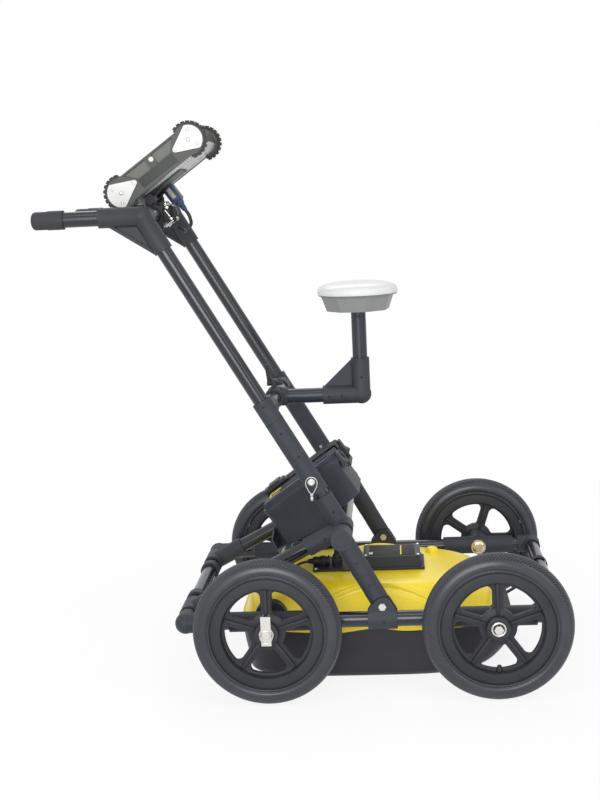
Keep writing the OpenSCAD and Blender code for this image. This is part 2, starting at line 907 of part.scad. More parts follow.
// Pull pin with a wire loop and crimp hanging from its head
module release_pin() {
    p = on_upright(pin_t, 0);
    out_y = -upright_y - fitting_d / 2 - fit_gap;
    in_y = -upright_y + fitting_d / 2 + pin_past;
    corners = [[-loop_w / 2, 0, 0], [loop_w / 2, 0, 0], [0, -lanyard_l, 0]];
    color(steel) {
        cross_rod(p, out_y, in_y, pin_d);
        cross_rod(p, out_y - pin_head_t, out_y, pin_head_d);
        translate([p.x, out_y - pin_head_t / 2, p.z]) rotate([90, 0, 0]) {
            for (i = [0:2]) {
                rod(corners[i], corners[(i + 1) % 3], wire_d);
                translate(corners[i]) ball(wire_ball_d);
            }
            rod([0, -lanyard_l + wire_d, 0], [0, -lanyard_l - crimp_l, 0], crimp_d);
        }
    }
}

module right_release_pin() {
    set_down() on_side(-1) release_pin();
}

module left_release_pin() {
    set_down() on_side(1) release_pin();
}

// Receiver on its arm

module receiver_tee() {
    stem = mid_p + [mount_stem, 0, 0];
    ear_p = mid_p + [0, 0, clamp_rise];
    color(fitting_black) set_down() difference() {
        union() {
            cross_rod(mid_p, -mount_tee_half, mount_tee_half, barrel_d);
            rod(mid_p, stem, fitting_d);
            translate(mid_p + [-clamp_ear_t / 2, -clamp_ear_t, 0])
                cube([clamp_ear_t, 2 * clamp_ear_t, clamp_rise + clamp_screw_d]);
        }
        cross_rod(mid_p, -mount_tee_half - overrun, mount_tee_half + overrun, tube_d + 2 * run_gap);
        tube_bore(mid_p + [tube_r + seat, 0, 0], stem);
        rod(ear_p - [clamp_ear_t, 0, 0], ear_p + [clamp_ear_t, 0, 0], clamp_screw_d + 2 * run_gap);
    }
}

module receiver_tubes() {
    bend = mid_p + [receiver_reach, 0, 0];
    color(tube_black) set_down() {
        tube_between(mid_p + [tube_r + 2 * seat, 0, 0], bend - [tube_r + 2 * seat, 0, 0]);
        tube_between(bend + [0, 0, tube_r + 2 * seat], bend + [0, 0, mast_h]);
    }
}

module receiver_elbow() {
    p = mid_p + [receiver_reach, 0, 0];
    back = p - [receiver_elbow_back, 0, 0];
    high = p + [0, 0, receiver_elbow_up];
    color(fitting_black) set_down() difference() {
        union() {
            translate(p) ball(corner_d);
            rod(p, back, fitting_d);
            rod(p, high, branch_d);
            side_plate(-gusset_t / 2, gusset_t / 2)
                polygon([[p.x, p.z], [back.x + seat, p.z + fitting_d / 2 - seat],
                    [p.x - fitting_d / 2 + seat, high.z - seat]]);
        }
        tube_bore(p - [tube_r + seat, 0, 0], back);
        tube_bore(p + [0, 0, tube_r + seat], high);
    }
}

// Eight-sided tapered housing, open below the dome
module receiver_body() {
    low_d = receiver_d * receiver_low_share;
    top_d = receiver_d * receiver_top_share;
    color([0.60, 0.62, 0.61]) set_down() translate(mid_p + [receiver_reach, 0, mast_h]) difference() {
        rotate(receiver_turn)
            cylinder(d1 = low_d, d2 = top_d, h = receiver_h, $fn = receiver_sides);
        translate([0, 0, receiver_floor])
            cylinder(d = receiver_d * receiver_hollow_share, h = receiver_h);
    }
}

// Shallow dome on an upright rim
module receiver_dome() {
    r = receiver_d / 2;
    arc = [for (i = [0:dome_steps - 1]) let (a = 90 * i / dome_steps)
        [r * pow(cos(a), dome_wide_share), dome_rim + dome_h * pow(sin(a), dome_high_share)]];
    color([0.93, 0.94, 0.95]) set_down() translate(mid_p + [receiver_reach, 0, mast_h + receiver_h])
        rotate_extrude() polygon(concat([[0, 0], [r, 0]], arc, [[0, arc[dome_steps - 1].y]]));
}

// Lever fixed to the screw that closes the tee on the mid cross tube
module clamp_lever() {
    p = mid_p + [0, 0, clamp_rise];
    head = p - [clamp_ear_t / 2 + clear_gap, 0, 0];
    foot = head - [lever_d / 2, 0, 0];
    set_down() {
        color(steel) rod(head, p + [clamp_screw_l, 0, 0], clamp_screw_d);
        color(fitting_black) {
            rod(head - [lever_d, 0, 0], head, lever_d);
            rod(foot, foot + [-lever_lean, 0, lever_l], lever_d - seat);
        }
    }
}

// Display

// Split block on the handle cross tube with two ears for the tilt pin
module display_clamp() {
    p = bend_p;
    ear_y = yoke_ear_y + yoke_ear_t / 2 + clear_gap;
    top = p.z + clamp_top;
    color(fitting_black) set_down() difference() {
        union() {
            side_plate(-clamp_half_y, clamp_half_y)
                polygon([[p.x - clamp_half_w, top - clamp_bevel], [p.x - clamp_half_w + clamp_bevel, top],
                    [p.x + clamp_half_w - clamp_bevel, top], [p.x + clamp_half_w, top - clamp_bevel],
                    [p.x + clamp_half_w, p.z - clamp_foot], [p.x - clamp_half_w, p.z - clamp_foot]]);
            translate([p.x - clamp_half_w, -clamp_mid_y, p.z])
                cube([2 * clamp_half_w, 2 * clamp_mid_y, clamp_mid_top]);
            for (y = [ear_y, -ear_y - yoke_ear_t])
                side_plate(y, y + yoke_ear_t) {
                    translate([tilt_p.x, tilt_p.z]) circle(r = yoke_ear_r);
                    translate([tilt_p.x - yoke_ear_r, p.z]) square([2 * yoke_ear_r, tilt_p.z - p.z]);
                }
        }
        cross_rod(p, -display_w, display_w, bore_d);
        cross_rod(tilt_p, -display_w, display_w, tilt_pin_d + 2 * run_gap);
        translate([p.x - clamp_slit / 2, -display_w, p.z - 2 * clamp_foot])
            cube([clamp_slit, 2 * display_w, 2 * clamp_foot]);
        for (y = [-1, 1], z = [-1, 1])
            translate([p.x, y * clamp_bolt_y, p.z + z * clamp_bolt_z]) rotate([0, 90, 0])
                cylinder(d = clamp_bolt_d + 2 * fit_gap, h = display_w, center = true);
    }
}

// Plate on the display's back with two ears inside the clamp's
module display_yoke() {
    root_z = display_rise - yoke_t / 2;
    color(fitting_black) set_down() in_display() difference() {
        union() {
            translate([-yoke_ear_r, -yoke_w / 2, display_rise - yoke_t])
                cube([yoke_l, yoke_w, yoke_t]);
            for (s = [-1, 1])
                side_plate(s * yoke_ear_y - yoke_ear_t / 2, s * yoke_ear_y + yoke_ear_t / 2) {
                    circle(r = yoke_ear_r);
                    translate([-yoke_ear_r, 0]) square([2 * yoke_ear_r, root_z]);
                    polygon([[0, root_z], [yoke_ear_r, 0], [yoke_l / 2, root_z]]);
                }
        }
        cross_rod([0, 0, 0], -yoke_w, yoke_w, tilt_pin_d + 4 * run_gap);
    }
}

// Tilt pin with a lobed thumb knob at its right-hand end
module tilt_knob() {
    ear_out = yoke_ear_y + yoke_ear_t / 2 + clear_gap + yoke_ear_t;
    color(steel) set_down() {
        cross_rod(tilt_p, -ear_out - clear_gap, ear_out + tilt_pin_past, tilt_pin_d);
        translate([tilt_p.x, -ear_out - clear_gap, tilt_p.z]) rotate([90, 0, 0]) difference() {
            cylinder(d = knob_d, h = knob_t);
            for (i = [0:knob_lobes - 1])
                rotate(i * 360 / knob_lobes) translate([knob_d / 2 + knob_notch_out, 0, -overrun])
                    cylinder(d = knob_notch_d, h = knob_t + 2 * overrun);
        }
    }
}

// Outline of the housing seen from the side: flat faces and ends of radius r
module display_outline(r, grow) {
    square([display_l, display_t + 2 * grow], center = true);
    for (s = [-1, 1]) translate([s * display_l / 2, 0]) circle(r = r + grow);
}

// Moves a flat shape to the middle of the display's side
module display_side() {
    translate([display_ahead, display_rise + display_t / 2]) children();
}

// Housing with a cavity below the screen
module display_case() {
    half = display_w / 2 - casting_t - fit_gap;
    top = display_rise + display_t;
    color([0.62, 0.63, 0.62]) set_down() in_display() difference() {
        side_plate(-half, half) display_side() display_outline(display_t / 2, 0);
        translate([display_ahead - screen_l / 2, -screen_w / 2, top - screen_t])
            cube([screen_l, screen_w, screen_t + overrun]);
        translate([display_ahead - screen_l / 2 + screen_ledge, -screen_w / 2 + screen_ledge,
            display_rise + display_wall])
            cube([screen_l - 2 * screen_ledge, screen_w - 2 * screen_ledge, display_t]);
        translate([display_ahead - display_l / 2 + button_inset, button_y, top - 2 * screen_t])
            cylinder(d = button_d + 2 * clear_gap, h = 2 * screen_t + overrun);
    }
}

module display_screen() {
    top = display_rise + display_t;
    color([0.08, 0.10, 0.12]) set_down() in_display()
        translate([display_ahead - screen_l / 2 + fit_gap, -screen_w / 2 + fit_gap, top - screen_t])
            cube([screen_l - 2 * fit_gap, screen_w - 2 * fit_gap, screen_t]);
}

// Moulded end frames with two sunk fields, a boss between them and a flat cover
module end_castings() {
    half = display_w / 2;
    out = display_l * field_out_share;
    in = display_l * field_in_share;
    high = display_t / 2 - field_rim;
    color(casting_olive) set_down() in_display() both_sides() {
        difference() {
            side_plate(-half, -half + casting_t) display_side() display_outline(end_r, casting_step);
            for (s = [-1, 1])
                side_plate(-half - overrun, -half + field_depth) display_side()
                    polygon([[s * field_boss_half, 0], [s * in, 0],
                        [s * out, high], [s * field_boss_half, high]]);
        }
        side_plate(-half - cover_t, -half) display_side()
            translate([-in, -high + cover_rim]) square([2 * in, high - cover_rim]);
    }
}

// Rounded three-cornered plates over the bumper ends
module corner_plates() {
    half = display_w / 2;
    color([0.90, 0.90, 0.88]) set_down() in_display() both_sides()
        for (s = [-1, 1])
            side_plate(-half - plate_t - fit_gap, -half - fit_gap) display_side()
                translate([s * display_l / 2, 0]) hull() {
                    circle(r = end_r - plate_rim, $fn = hull_fn);
                    translate([-s * plate_tip_reach, 0]) circle(r = plate_tip_r, $fn = hull_fn);
                }
}

// Toothed rubber rings round the ends of the castings
module bumpers() {
    half = display_w / 2;
    pitch = 360 / bumper_teeth;
    gap_w = PI * bumper_d / bumper_teeth * (1 - tooth_share);
    color(rubber_black) set_down() in_display() both_sides()
        for (s = [-1, 1])
            side_plate(-half, -half + bumper_w) display_side() difference() {
                translate([s * display_l / 2, 0]) difference() {
                    circle(d = bumper_d);
                    for (i = [0:bumper_teeth - 1])
                        rotate(i * pitch) translate([bumper_d / 2 - tooth_h, -gap_w / 2])
                            square([2 * tooth_h, gap_w]);
                }
                display_outline(end_r, casting_step + fit_gap);
                translate([s * (display_l / 2 - end_r / 2 - bumper_d), -bumper_d])
                    translate([s < 0 ? -bumper_d : 0, 0]) square([bumper_d, 2 * bumper_d]);
            }
}

module power_button() {
    top = display_rise + display_t;
    color([0.75, 0.16, 0.12]) set_down() in_display()
        translate([display_ahead - display_l / 2 + button_inset, button_y, top - screen_t + clear_gap]) {
            cylinder(d = button_d, h = screen_t);
            translate([0, 0, -button_travel + clear_gap]) cylinder(d = button_stem_d, h = screen_t);
        }
}

// Hooded plug on the display's back, its neck turned away from the screen
module cable_plug() {
    color([0.16, 0.22, 0.36]) set_down() in_display()
        translate([plug_x, plug_y, display_rise - fit_gap]) rotate([180, 0, 0]) {
            translate([-plug_t / 2, -plug_w / 2, 0]) cube([plug_t, plug_w, plug_l - plug_taper]);
            translate([0, 0, plug_l - plug_taper - overrun])
                cylinder(d1 = plug_t, d2 = plug_neck_d + seat, h = plug_taper + overrun);
            translate([0, 0, plug_l - seat]) cylinder(d = plug_neck_d, h = plug_neck_l + seat);
        }
}

// Battery case

// Block of the case's outline moved in by inset, with rounded upright corners
module case_block(inset, n0, n1) {
    translate([(case_u0 + case_u1) / 2, 0, n0])
        round_box(case_l - 2 * inset, case_w - 2 * inset, n1 - n0, case_round);
}

// Block between two places along the slope, with rounded upright corners
module case_slab(u0, u1, half, n0, n1) {
    translate([(u0 + u1) / 2, 0, n0]) round_box(u1 - u0, 2 * half, n1 - n0, case_round);
}

// Body of the base: a deep part behind the cross tube and a shallow one over it
module case_body(wall) {
    side = case_w / 2 - case_rim_t - wall;
    front = case_u1 - case_rim_t - wall;
    hull() {
        rotate([0, case_wedge_angle, 0])
            case_slab(deep_u0 + wall, deep_u1 - wall, side - case_draft,
                case_n0 + wall, case_n0 + wall + case_floor_t);
        case_slab(rim_u0 + wall, deep_u1 - wall, side, body_n - case_floor_t, body_n);
    }
    hull() {
        case_slab(front_u0 + wall, front - case_draft, side - case_draft,
            front_n + wall, front_n + wall + case_floor_t);
        case_slab(rim_u0 + wall, front, side, body_n - case_floor_t, body_n);
    }
}

module case_base() {
    rim_n = case_seam - case_rim_h;
    pin_n = case_seam - case_rim_h / 2;
    side = case_w / 2 - case_rim_t;
    front = case_u1 - case_rim_t;
    pin_u = case_u1 + clear_gap + case_handle_t / 2;
    color(rubber_black) set_down() in_case() difference() {
        union() {
            case_body(0);
            hull() {
                case_slab(rim_u0, front, side, body_n - case_floor_t, body_n);
                case_slab(rim_u0, case_u1, case_w / 2, rim_n, rim_n + case_floor_t);
            }
            case_slab(rim_u0, case_u1, case_w / 2, rim_n, case_seam);
            for (y = [case_handle_w / 2 + clear_gap, -case_handle_w / 2 - clear_gap - handle_lug_w])
                translate([case_u1 - case_rim_t, y, pin_n - case_handle_t / 2])
                    cube([pin_u - case_u1 + case_rim_t + case_handle_t / 2, handle_lug_w, case_handle_t]);
        }
        case_body(case_wall);
        case_slab(rim_u0 + case_wall, front - case_wall, side - case_wall,
            body_n - overrun, case_seam + overrun);
        cross_rod([pin_u, 0, pin_n], -case_w, case_w, handle_pin_d + 2 * run_gap);
    }
}

// Shallow lid with ribs along its top and two hinge knuckles at its rear edge
module case_lid() {
    rib_pitch = case_w / (lid_ribs + 1);
    hinge_p = [case_u0 - hinge_out, 0, lid_n + hinge_d / 2];
    color(rubber_black) set_down() in_case() difference() {
        union() {
            case_block(lid_ridge, lid_n, case_top);
            for (n = [lid_n, lid_n + lid_ridge_n]) case_block(0, n, n + lid_ridge_h);
            for (i = [1:lid_ribs])
                translate([case_u0 + case_round, i * rib_pitch - case_w / 2 - lid_rib_w / 2,
                        case_top - overrun])
                    cube([case_l - 2 * case_round, lid_rib_w, lid_rib_h + overrun]);
            for (s = [-1, 1])
                cross_rod(hinge_p, s * hinge_y_share * case_w - hinge_l / 2,
                    s * hinge_y_share * case_w + hinge_l / 2, hinge_d);
        }
        case_block(case_rim_t + case_wall, case_seam - overrun, case_top - case_wall);
    }
}

// Latch that hangs from the lid's front edge over the base's rim
module latch(s) {
    u = case_u1 + clear_gap;
    n = case_seam + case_lid_h / 2;
    foot = n - latch_h;
    color(rubber_black) set_down() in_case()
        translate([0, s * latch_y_share * case_w - latch_w / 2, 0])
            side_plate(0, latch_w) {
                translate([u + latch_t / 2, n]) circle(d = latch_t);
                translate([u, foot]) square([latch_t, latch_h]);
                polygon([[u, foot], [u + 2 * latch_t, foot + latch_t], [u + latch_t, foot + latch_h / 2]]);
            }
}

module left_latch() {
    latch(1);
}

module right_latch() {
    latch(-1);
}

// Carrying handle folded down against the front of the base, with round eyes at its pins
module case_handle() {
    u = case_u1 + clear_gap;
    pin_n = case_seam - case_rim_h / 2;
    half = case_handle_w / 2;
    foot = pin_n - case_handle_drop;
    past = half + clear_gap + handle_lug_w;
    color(rubber_black) set_down() in_case() {
        for (y = [-half, half - case_handle_t])
            side_plate(y, y + case_handle_t) {
                translate([u + case_handle_t / 2, pin_n]) circle(d = case_handle_t);
                translate([u, foot]) square([case_handle_t, case_handle_drop]);
            }
        translate([u, -half, foot - case_handle_t / 2]) cube([case_handle_t, case_handle_w, case_handle_t]);
        cross_rod([u + case_handle_t / 2, 0, pin_n], -past, -half + seat, handle_pin_d);
        cross_rod([u + case_handle_t / 2, 0, pin_n], half - seat, past, handle_pin_d);
    }
}

module battery_pack() {
    color([0.25, 0.27, 0.30]) set_down() in_tray()
        translate([battery_u - battery_l / 2, -battery_w / 2, case_n0 + case_wall + fit_gap])
            cube([battery_l, battery_w, battery_h]);
}

// Webbing over the lid and down its front, with a buckle at its rear end
module lid_strap() {
    n = case_top + lid_rib_h + fit_gap;
    u = case_u1 + clear_gap;
    end_u = case_u0 + buckle_l;
    color(tube_black) set_down() in_case()
        side_plate(strap_y - strap_w / 2, strap_y + strap_w / 2)
            polygon([[case_u0, n], [u, n], [u, lid_n], [u + strap_t, lid_n], [u + strap_t, n + strap_t],
                [end_u + buckle_slope, n + strap_t], [end_u, n + buckle_h],
                [case_u0 + buckle_slope, n + buckle_h]]);
}

// Sensor

// A closed outline between an ellipse and a rectangle, of half-lengths a and b
function oblong(a, b, i) =
    let (t = 360 * i / shell_points, c = cos(t), s = sin(t))
    [a * sign(c) * pow(abs(c), shell_power_share), b * sign(s) * pow(abs(s), shell_power_share)];

// One ring of points: middle x, half-lengths, height at the ends and at the sides
function ring(x, a, b, z_end, z_side) = [for (i = [0:shell_points - 1])
    let (q = oblong(a, b, i), side = pow(abs(sin(360 * i / shell_points)), shell_arch_share))
    [x + q.x, q.y, z_end + (z_side - z_end) * side]];

module loft(rings) {
    n = len(rings[0]);
    m = len(rings);
    sides = [for (r = [0:m - 2], i = [0:n - 1]) each
        let (j = (i + 1) % n, a = r * n, b = a + n)
        [[a + i, b + j, a + j], [a + i, b + i, b + j]]];
    polyhedron([for (r = rings) each r],
        concat([[for (i = [0:n - 1]) i]], sides, [[for (i = [n - 1:-1:0]) (m - 1) * n + i]]));
}

// Rings of the moulded shell, each moved in by the wall for the inside
function shell_rings(wall) =
    let (a = shell_l / 2 - wall, b = shell_w / 2 - wall, z0 = shell_joint_z - (wall > 0 ? overrun : 0),
        rise = shell_top_z - wall - z0)
    [for (i = [0:len(shell_long_shares) - 1])
        ring(sensor_x, a * shell_long_shares[i], b * shell_wide_shares[i],
            z0 + rise * shell_end_shares[i], z0 + rise * shell_side_shares[i])];

module sensor_shell() {
    color(shell_yellow) set_down() {
        difference() {
            loft(shell_rings(0));
            loft(shell_rings(shell_wall));
        }
        translate([boss_x, boss_y, shell_top_z - boss_sunk])
            cylinder(d1 = boss_d, d2 = boss_top_d, h = boss_h);
    }
}

// Rings of the skid tub, its front drawn out to a solid rising nose
function tub_outer() =
    [for (i = [0:len(tub_high_shares) - 1])
        let (z = (shell_joint_z - fit_gap) * tub_high_shares[i])
        ring(sensor_x + tub_nose * tub_ahead_shares[i], shell_l / 2 + tub_nose * tub_long_shares[i],
            shell_w / 2 + tub_nose * tub_wide_shares[i], z, z)];

function tub_inner() =
    let (a = shell_l / 2 - shell_wall, b = shell_w / 2 - shell_wall, top = shell_joint_z + overrun)
    [ring(sensor_x - tub_nose / 2, a - tub_nose, b - tub_nose / 2, tub_floor_t, tub_floor_t),
     ring(sensor_x, a - tub_nose / 2, b - tub_nose / 2, shell_joint_z / 2, shell_joint_z / 2),
     ring(sensor_x, a, b, top, top)];

module skid_tub() {
    color(fitting_black) set_down() difference() {
        loft(tub_outer());
        loft(tub_inner());
    }
}

// Sealed electronics box with a foot at each end
module control_module() {
    color(rubber_black) set_down()
        translate([module_x, module_y, shell_top_z + fit_gap]) {
            round_box(module_l, module_w, module_h, module_round);
            round_box(module_l + 2 * module_foot, module_w * module_foot_share,
                module_h * module_foot_h_share, module_foot);
        }
}

module connector_plate() {
    color(tube_black) set_down()
        translate([plug_plate_x, module_y, shell_top_z + fit_gap])
            round_box(plug_plate_l, plug_plate_w, plug_plate_t, module_round);
}

// A lying plug for the odometer and a standing one for the battery
module sensor_plugs() {
    color(rubber_black) set_down() {
        rod(lie_plug_p, lie_plug_p - [plug_body_l, 0, 0], plug_body_d);
        translate(stand_plug_p) {
            cylinder(d = plug_body_d, h = plug_body_l - plug_tail_l);
            cylinder(d = plug_tail_d, h = plug_body_l);
        }
    }
}

module antenna_unit() {
    color([0.55, 0.52, 0.40]) set_down()
        translate([sensor_x - antenna_l / 2, -antenna_w / 2, tub_floor_t + fit_gap])
            cube([antenna_l, antenna_w, antenna_h]);
}

// Two webbing straps from the front cross tube to the nose of the tub
module pull_straps() {
    near_y = (pull_strap_y - pull_strap_w / 2) / (shell_w / 2);
    flat = pow(1 - pow(near_y, 2 / shell_power_share), shell_power_share / 2);
    nose_x = sensor_x + tub_nose / 2 + (shell_l + tub_nose) / 2 * flat + fit_gap;
    nose_z = (shell_joint_z - fit_gap) * pull_share;
    nose = [nose_x, nose_z];
    tube_mid = [front_x, axle_z];
    reach = norm(tube_mid - nose);
    touch_r = tube_r + fit_gap;
    lean = atan2(tube_mid.y - nose.y, tube_mid.x - nose.x) - asin(touch_r / reach);
    tip = nose + sqrt(reach * reach - touch_r * touch_r) * [cos(lean), sin(lean)];
    out = pull_strap_t * [sin(lean), -cos(lean)];
    color(tube_black) set_down() both_sides()
        side_plate(-pull_strap_y - pull_strap_w / 2, -pull_strap_y + pull_strap_w / 2)
            polygon([nose, tip, tip + out, nose + out]);
}

// Cords, each swept as a ring of points round every point of its route

function route_dir(p, i) = unit(p[min(i + 1, len(p) - 1)] - p[max(i - 1, 0)]);
function cord_ring(p, i, r) =
    let (t = route_dir(p, i), a = unit(cross(t, cord_turn)), b = cross(t, a))
    [for (k = [0:cord_sides - 1])
        let (turn = 360 * k / cord_sides)
        p[i] + r * (cos(turn) * a + sin(turn) * b)];

module cord(route, d) {
    loft([for (i = [0:len(route) - 1]) cord_ring(route, i, d / 2)]);
}

module display_cable() {
    color(tube_black) set_down() cord(display_route, display_cable_d);
}

module sensor_cables() {
    color(tube_black) set_down() {
        cord(odometer_route, sensor_cable_d);
        cord(battery_route, sensor_cable_d);
    }
}

// Odometer

// Round encoder housing inside the right-hand rail
module odometer() {
    p = [0, 0, axle_z];
    y0 = -rail_y + fitting_d / 2 + fit_gap;
    color(rubber_black) set_down() difference() {
        union() {
            cross_rod(p, y0, y0 + odo_l, odo_d);
            cross_rod(p, y0, y0 + odo_l + odo_cap, odo_d * odo_cap_share);
        }
        cross_rod(p, y0 - overrun, y0 + odo_l / 2, axle_d + 2 * fit_gap);
    }
}

// Shaft that turns with the right rear wheel, and the fork that grips a spoke's rib
module drive_dog() {
    p = [0, 0, axle_z];
    face_y = -wheel_y - hub_w / 2 - clear_gap;
    in_y = -rail_y + fitting_d / 2 + odo_l * dog_shaft_share;
    tine_x = rib_t / 2 + clear_gap;
    tine_z = hub_d / 2 + clear_gap;
    tine_y = -wheel_y - web_t / 2 - clear_gap;
    color(steel) set_down() {
        cross_rod(p, face_y - bolt_head_t, in_y, axle_d);
        difference() {
            union() {
                translate([-dog_w / 2, face_y - dog_t, axle_z - dog_drop])
                    cube([dog_w, dog_t, dog_drop + dog_rise]);
                for (x = [tine_x, -tine_x - dog_t])
                    translate([x, face_y - dog_t, axle_z + tine_z])
                        cube([dog_t, tine_y - face_y + dog_t, dog_rise - tine_z]);
            }
            cross_rod(p, face_y - dog_w, face_y + dog_w, axle_d + 2 * run_gap);
        }
    }
}

// Wheels

module wheel_windows() {
    offset(r = window_round) offset(delta = -window_round) difference() {
        circle(r = rim_d / 2 - ring_depth - web_band);
        circle(d = hub_d + 2 * window_round);
        for (i = [0:spoke_count - 1])
            rotate(90 + i * 360 / spoke_count)
                translate([0, -spoke_w / 2]) square([rim_d, spoke_w]);
    }
}

// Moulded rim: ring, web with windows, a rib on each side of every spoke, and hub
module rim(x, s, turn = 0) {
    rim_r = rim_d / 2;
    inner_r = rim_r - ring_depth;
    translate([x, s * wheel_y, axle_z]) rotate([90, 0, 0]) rotate(turn) difference() {
        union() {
            rotate_extrude() translate([inner_r, -rim_w / 2]) square([ring_depth - fit_gap, rim_w]);
            translate([0, 0, -web_t / 2]) linear_extrude(web_t) difference() {
                circle(r = inner_r + seat);
                wheel_windows();
            }
            for (i = [0:spoke_count - 1])
                rotate(90 + i * 360 / spoke_count)
                    translate([hub_d / 2 - seat, -rib_t / 2, -rib_h / 2])
                        cube([inner_r - hub_d / 2 + 2 * seat, rib_t, rib_h]);
            translate([0, 0, -hub_w / 2]) cylinder(d = hub_d, h = hub_w);
        }
        translate([0, 0, -hub_w]) cylinder(d = axle_d + 2 * run_gap, h = 2 * hub_w);
    }
}

// Solid tyre with a round crown, nearly flat side walls and a lip along each bead
module tyre(x, s) {
    crown_r = tyre_w / 2;
    crown_x = tyre_d / 2 - crown_r;
    translate([x, s * wheel_y, axle_z]) rotate([90, 0, 0]) rotate_extrude() difference() {
        union() {
            translate([crown_x, 0]) circle(r = crown_r);
            translate([rim_d / 2, -rim_w / 2 - seat]) square([crown_x - rim_d / 2, rim_w + 2 * seat]);
            for (y = [-1, 1]) translate([rim_d / 2 + lip_r - lip_sunk, y * rim_w / 2]) circle(r = lip_r);
        }
        square([rim_d, tyre_w + overrun], center = true);
    }
}

module left_rear_rim() {
    color(fitting_black) set_down() rim(0, 1);
}

module right_rear_rim() {
    color(fitting_black) set_down() rim(0, -1);
}

module left_front_rim() {
    color(fitting_black) set_down() rim(wheelbase, 1, left_front_turn);
}

module right_front_rim() {
    color(fitting_black) set_down() rim(wheelbase, -1);
}

module left_rear_tyre() {
    color(rubber_black) set_down() tyre(0, 1);
}

module right_rear_tyre() {
    color(rubber_black) set_down() tyre(0, -1);
}

module left_front_tyre() {
    color(rubber_black) set_down() tyre(wheelbase, 1);
}

module right_front_tyre() {
    color(rubber_black) set_down() tyre(wheelbase, -1);
}

side_rails();
cross_tubes();
corner_elbows();
axle_sleeves();
frame_bolts();
pivot_brackets();
leg_fittings();
upright_sockets();
rear_arms();
rear_fittings();
upright_tubes();
handle_sleeves();
handle_elbows();
handle_tubes();
grips();
battery_tray();
left_release_pin();
right_release_pin();
receiver_tee();
receiver_tubes();
receiver_elbow();
receiver_body();
receiver_dome();
clamp_lever();
display_clamp();
display_yoke();
tilt_knob();
display_case();
display_screen();
end_castings();
corner_plates();
bumpers();
power_button();
cable_plug();
display_cable();
case_base();
case_lid();
left_latch();
right_latch();
case_handle();
battery_pack();
lid_strap();
sensor_shell();
skid_tub();
control_module();
connector_plate();
sensor_plugs();
pull_straps();
sensor_cables();
antenna_unit();
odometer();
drive_dog();
left_rear_rim();
right_rear_rim();
left_front_rim();
right_front_rim();
left_rear_tyre();
right_rear_tyre();
left_front_tyre();
right_front_tyre();
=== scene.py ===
import math
import bmesh
import bpy
from mathutils import Matrix, Vector
from mathutils.geometry import tessellate_polygon


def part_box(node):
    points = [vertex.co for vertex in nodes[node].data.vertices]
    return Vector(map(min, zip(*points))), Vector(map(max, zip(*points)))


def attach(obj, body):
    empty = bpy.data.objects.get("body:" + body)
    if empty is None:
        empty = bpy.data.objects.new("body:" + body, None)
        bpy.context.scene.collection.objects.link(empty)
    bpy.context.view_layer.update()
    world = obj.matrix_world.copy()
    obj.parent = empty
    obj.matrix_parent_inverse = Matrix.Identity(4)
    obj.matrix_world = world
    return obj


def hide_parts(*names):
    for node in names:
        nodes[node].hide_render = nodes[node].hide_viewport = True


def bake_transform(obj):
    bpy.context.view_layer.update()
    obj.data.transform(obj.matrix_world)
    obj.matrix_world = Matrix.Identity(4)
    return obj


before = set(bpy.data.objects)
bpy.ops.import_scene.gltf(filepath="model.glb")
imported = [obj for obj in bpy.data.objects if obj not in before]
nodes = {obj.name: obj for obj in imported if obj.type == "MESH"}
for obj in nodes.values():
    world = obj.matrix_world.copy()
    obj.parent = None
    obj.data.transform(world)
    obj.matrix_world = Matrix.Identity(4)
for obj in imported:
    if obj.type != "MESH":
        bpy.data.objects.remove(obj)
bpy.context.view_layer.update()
mm = 0.001


def middleOf(node):
    low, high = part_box(node)
    return (low + high) / 2


rearAxle = middleOf("right_rear_rim")


def at(x, y, z):  # millimetres from the rear axle's plane, the cart's middle and the floor
    return Vector((rearAxle.x + x * mm, y * mm, z * mm))


def standing(x, y, z):
    return Matrix.Translation(at(x, y, z))


def sloped(origin, degrees):  # a frame whose X runs up the slope
    return Matrix.Translation(origin) @ Matrix.Rotation(-math.radians(degrees), 4, "Y")


def facing(point, direction):  # a frame with Z along the direction
    return Matrix.Translation(point) @ Vector(direction).to_track_quat("Z", "Y").to_matrix().to_4x4()


def polar(radius, angle):
    return radius * math.cos(angle), radius * math.sin(angle)


def inScene(name, data, place=None):
    obj = bpy.data.objects.new(name, data)
    bpy.context.scene.collection.objects.link(obj)
    if place is not None:
        obj.matrix_world = place
    return obj


def addNode(tree, kind, inputs=None, **settings):  # inputs by name or number
    node = tree.nodes.new(kind)
    for key, value in settings.items():
        setattr(node, key, value)
    for key, value in (inputs or {}).items():
        node.inputs[key].default_value = value
    return node


def link(tree, *pairs):  # pairs of an output and the input that it feeds
    for source, target in pairs:
        tree.links.new(source, target)


frameSlope = 35  # degrees, of the display and of the battery case
displayFrame = sloped(at(-229.05, 0, 1014), frameSlope)
caseFrame = sloped(at(154, 0, 321), frameSlope)
sides = {"right": -1, "left": 1}  # the right-hand side faces the camera

print("frame loaded:", len(nodes), "nodes")

# Camera

camera = dict(
    place=(196.73, -2895.3, 1017.0), turn=-0.073, dip=0.155, roll=-0.047,
    focalPixels=1335.8, longSide=800, sensor=36.0, clip=(0.05, 100),
)


